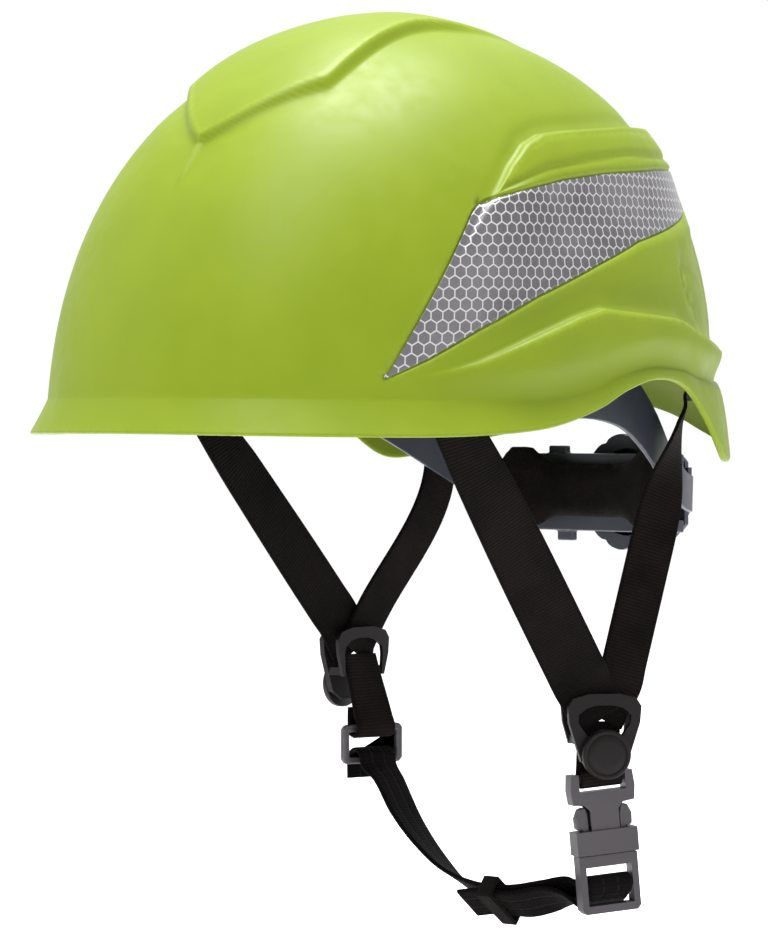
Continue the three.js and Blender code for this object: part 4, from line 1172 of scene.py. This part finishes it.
def bar_loop(name, top, spot, width, clear, rise):
    """Down behind the bar, round it and a little way up its front."""
    start, back = at_spot(top, 0, -5.2, 4), at_spot(spot, 0, -clear, 0)
    first, side = across_spot(top), across_spot(spot)
    shares = np.arange(6) / 6
    fall = [(start + (back - start) * t, first + (side - first) * step(0, 1, t), 1) for t in shares]
    turns = np.radians(np.linspace(180, 360, 15))
    bend = [(at_spot(spot, 0, clear * math.cos(a), clear * math.sin(a)), side, 1) for a in turns]
    stations = fall + bend + [(at_spot(spot, 0, clear, rise), side, 1)]
    return dress(ribbon(name, stations, width, spacing=0.9), WEB_REAR)


def off_face(index, distance):
    """A station of the run, moved off the strap's face, away from the chin."""
    point, width = CHIN_RUN[index]
    before = CHIN_RUN[max(0, index - 1)][0]
    after = CHIN_RUN[min(len(CHIN_RUN) - 1, index + 1)][0]
    out = unit(np.cross(width, unit(np.subtract(after, before))))
    return np.array(point) + out * distance * (-1 if out[2] > 0 else 1)


def chin_strap(name):
    """Hem, run, turn and tail as one sweep."""
    ring_side, buckle_side = -across_spot(RING), across_spot(BUCKLE)
    hem = [(at_spot(RING, 0, RING_CLEAR, -19.3), ring_side, 1)]
    for a in np.radians(np.linspace(0, 180, 13)):
        spin = at_spot(RING, 0, RING_CLEAR * math.cos(a), RING_BAR_Z + RING_CLEAR * math.sin(a))
        hem.append((spin, ring_side, 1))
    run = [(p, side, 1) for p, side in CHIN_RUN]
    run.append((at_spot(BUCKLE, 0, -13, -40), buckle_side, 0.6))
    run.append((at_spot(BUCKLE, 0, -6.5, -38), buckle_side, 0.2))
    turn = []
    for a in np.radians(np.linspace(170, -75, 15)):
        spin = at_spot(BUCKLE, 0, BAR_CLEAR * math.cos(a), BUCKLE_BAR_Z + BAR_CLEAR * math.sin(a))
        turn.append((spin, buckle_side, 0))
    tail = [(at_spot(BUCKLE, 0, -4.5, -45.6), buckle_side, 0.3)]
    tail.append((at_spot(BUCKLE, 0, -10, -47.6), buckle_side, 0.7))
    tail += [(off_face(k, TAIL_GAP), CHIN_RUN[k][1], 1) for k in (6, 5, 4)]
    tail.append((TAIL_TIP, CHIN_RUN[4][1], 1))
    return dress(ribbon(name, hem + run + turn + tail, CHIN_WIDTH, CHIN_THICK, spacing=1.0), WEB_CHIN)


place(bar_loop("webbing_loop_left", LEFT, BUCKLE, 16.5, 2.8, 3), "left_yoke", "loop_left", slot="webbing")
place(bar_loop("webbing_loop_right", RIGHT, RING, 18, 3.1, 8), "right_yoke", "loop_right", slot="webbing")
TOWARDS_MALE = ("male_half", (0.02, 0.05, -0.1745), (0.045, 0.055, -0.168))
place(chin_strap("webbing_chin_strap"), "chin_set", "chin_strap", slot="webbing", bends=TOWARDS_MALE)
print("loops and chin strap swept")

# %% [markdown]
# Inside the shell three bands cross over the head and hold the headband off the shell.

# %% Crown straps
FRONT_KEY, SIDE_KEY, REAR_KEY = 35, 90, 146
KEY_Z, KEY_DEEP, KEY_TALL, KEY_GAP, BAND_GAP = 34, 6, 24, 2.2, 5
# Each strap: its letter, the turns of its two keys from the nose, the height of its top.
CROWN_STRAPS = [
    ("a", FRONT_KEY, -REAR_KEY, 112), ("b", -FRONT_KEY, REAR_KEY, 115), ("c", SIDE_KEY, -SIDE_KEY, 118),
]


def crown_strap(name, start, stop, top):
    """A tall arch between two keys, flat against the head."""
    inset = WALL + KEY_GAP + KEY_DEEP + BAND_GAP
    first, last = (dome(np.radians(a), KEY_Z + KEY_TALL / 2, inset)[:2] for a in (start, stop))
    span = last - first
    side = np.array([-span[1], span[0], 0]) / np.linalg.norm(span)
    swing = np.linspace(-np.pi / 2, np.pi / 2, 41)
    s = power(np.sin(swing), 0.85)
    low = KEY_Z + 2
    z = low + (top - low) * np.maximum(0, np.cos(swing)) ** 0.85
    flat = first + span * ((s + 1) / 2)[:, None]
    stations = [((*p, h), side, 1) for p, h in zip(flat, z)]
    return dress(ribbon(name, stations, 20, 1.3, spacing=2.0), WEB_FRONT)


for letter, start, stop, top in CROWN_STRAPS:
    piece = crown_strap("webbing_crown_" + letter, start, stop, top)
    place(piece, "helmet", "crown_strap_" + letter, slot="webbing")
print("crown straps swept")

# %% [markdown]
# ## Hard plastic pieces
# The frame's plastic parts have knife-sharp edges, which no moulding has. A copy of each
# part gets its edges rounded by a fraction of a millimetre, so every rim catches a thin
# line of light. The faces made by the rounding are marked, and the finish paints them paler,
# partly as wear and partly as a painted highlight along that line of light.

# %% Rounded copies


def softened(name, node_name, material, width=0.35, angle=28):
    """Copy a frame part, merge its flat faces, round its sharp edges and mark them."""
    source = bpy.data.objects[node_name]
    work = bmesh.new()
    work.from_mesh(source.data)
    work.transform(source.matrix_world)
    bmesh.ops.remove_doubles(work, verts=work.verts, dist=0.00001)
    bmesh.ops.dissolve_limit(work, angle_limit=math.radians(1), verts=work.verts, edges=work.edges)
    limit = math.radians(angle)
    sharp = [e for e in work.edges if len(e.link_faces) == 2 and e.calc_face_angle(0) > limit]
    mark = work.faces.layers.float.new("edge")
    made = bmesh.ops.bevel(work, geom=sharp, offset=width * MM, segments=2, profile=0.5,
                           affect="EDGES", clamp_overlap=True)
    for face in made["faces"]:
        face[mark] = 1.0
    mesh = bpy.data.meshes.new(name)
    work.to_mesh(mesh)
    work.free()
    mesh.polygons.foreach_set("use_smooth", np.full(len(mesh.polygons), True))
    mesh.set_sharp_from_angle(angle=math.radians(50))
    mesh.validate()
    piece = add_object(name, mesh)
    piece.modifiers.new("even", "WEIGHTED_NORMAL").keep_sharp = True
    with bpy.context.temp_override(object=piece, active_object=piece, selected_objects=[piece]):
        bpy.ops.object.modifier_apply(modifier="even")
    return dress(piece, material)


SLOT_FINISH = {
    "buckle_plastic": BUCKLE_GREY, "black_plastic": SOFT_BLACK, "suspension_plastic": BLUE_GREY,
    "spring_steel": STEEL, "webbing": KNIT,
}
# Each row: frame part, body it rides, slot, rounding in millimetres.
HARD = [
    ("ring", "right_yoke", "buckle_plastic", 0.9),
    ("buckle_female", "chin_set", "buckle_plastic", 0.9),
    ("buckle_male", "male_half", "buckle_plastic", 0.9),
    ("prong_left", "left_prong", "buckle_plastic", 0.7),
    ("prong_right", "right_prong", "buckle_plastic", 0.7),
    ("divider_left", "left_yoke", "black_plastic", 0.6),
    ("divider_right", "right_yoke", "black_plastic", 0.6),
    ("ratchet_housing", "nape_unit", "suspension_plastic", 0.6),
    ("ratchet_cover", "nape_unit", "suspension_plastic", 0.5),
    ("rack_left", "left_rack", "suspension_plastic", 0.1),
    ("rack_right", "right_rack", "suspension_plastic", 0.1),
    ("pinion", "adjuster", "spring_steel", 0.1),
    ("knob", "adjuster", "suspension_plastic", 0.7),
    ("knob_cap", "adjuster", "black_plastic", 0.5),
    ("detent_spring", "nape_unit", "spring_steel", 0.2),
    ("keeper", "strap_keeper", "webbing", 0.5),
    ("headband", "helmet", "suspension_plastic", 0.5),
]
# Each row: a kind of part that comes as a left and right pair, its body, its rounding.
PAIRS = [
    ("hanger_front", "helmet", 0.4), ("hanger_rear", "helmet", 0.4), ("key_front", "helmet", 0.5),
    ("key_side", "helmet", 0.5), ("key_rear", "helmet", 0.5), ("pivot_stud", "nape_frame", 0.4),
]
for kind, body, rounding in PAIRS:
    for side_name in ("left", "right"):
        HARD.append((f"{kind}_{side_name}", body, "suspension_plastic", rounding))
for node_name, body, slot_name, rounding in HARD:
    made = softened("moulded_" + node_name, node_name, SLOT_FINISH[slot_name], rounding)
    place(made, body, node_name, slot=slot_name)
print(len(HARD), "hard pieces rounded")

# %% [markdown]
# The two arms of the nape strap are thin enough to flex: on the helmet each one is fixed at its
# pivot and follows the ratchet at its other end. Here each rounded copy stays where it lies and rides
# neither body.

# %% Nape arms
for side_name, side in (("left", 1), ("right", -1)):
    arm = softened("moulded_nape_arm_" + side_name, "nape_arm_" + side_name, BLUE_GREY, 0.4)
    towards_unit = ("nape_unit", (side * 0.069, 0.045, 0.015), (side * 0.045, 0.120, -0.024))
    place(arm, "nape_frame", "nape_arm_" + side_name, slot="suspension_plastic", bends=towards_unit)

# %% [markdown]
# The divider's cap is a turned disc with a rounded rim, a slim ring groove and a slightly
# domed middle. A lathe profile gives all three at once.

# %% Divider caps
CAP_RADIUS, CAP_LOW, CAP_HIGH, CAP_Z = 9.2, 2.7, 6.0, -7.5
# Radius and distance out of the divider's plane, from the back of the rim to the middle.
CAP_PROFILE = [
    (8.9, CAP_LOW), (9.15, 2.9), (CAP_RADIUS, 3.4), (CAP_RADIUS, 5.0), (9.0, 5.5),
    (8.6, 5.75), (8.1, 5.85), (7.75, 5.8), (7.55, 5.35), (7.25, 5.35), (7.05, 5.75),
    (5.0, 5.9), (2.5, 5.97),
]


def divider_cap(name, spot):
    """Turn the profile round the cap's own axis."""
    a = circle(64)
    rings = [
        [at_spot(spot, u, out, z) for u, z in zip(r * np.cos(a), r * np.sin(a) + CAP_Z)]
        for r, out in CAP_PROFILE
    ]
    poles = [at_spot(spot, 0, out, CAP_Z) for out in (CAP_LOW, CAP_HIGH)]
    return dress(closed_tube(name, rings, poles), SOFT_BLACK)


for side_name, spot in (("left", LEFT), ("right", RIGHT)):
    cap = divider_cap("turned_cap_" + side_name, spot)
    place(cap, side_name + "_yoke", "divider_cap_" + side_name, slot="black_plastic")
print("caps turned")
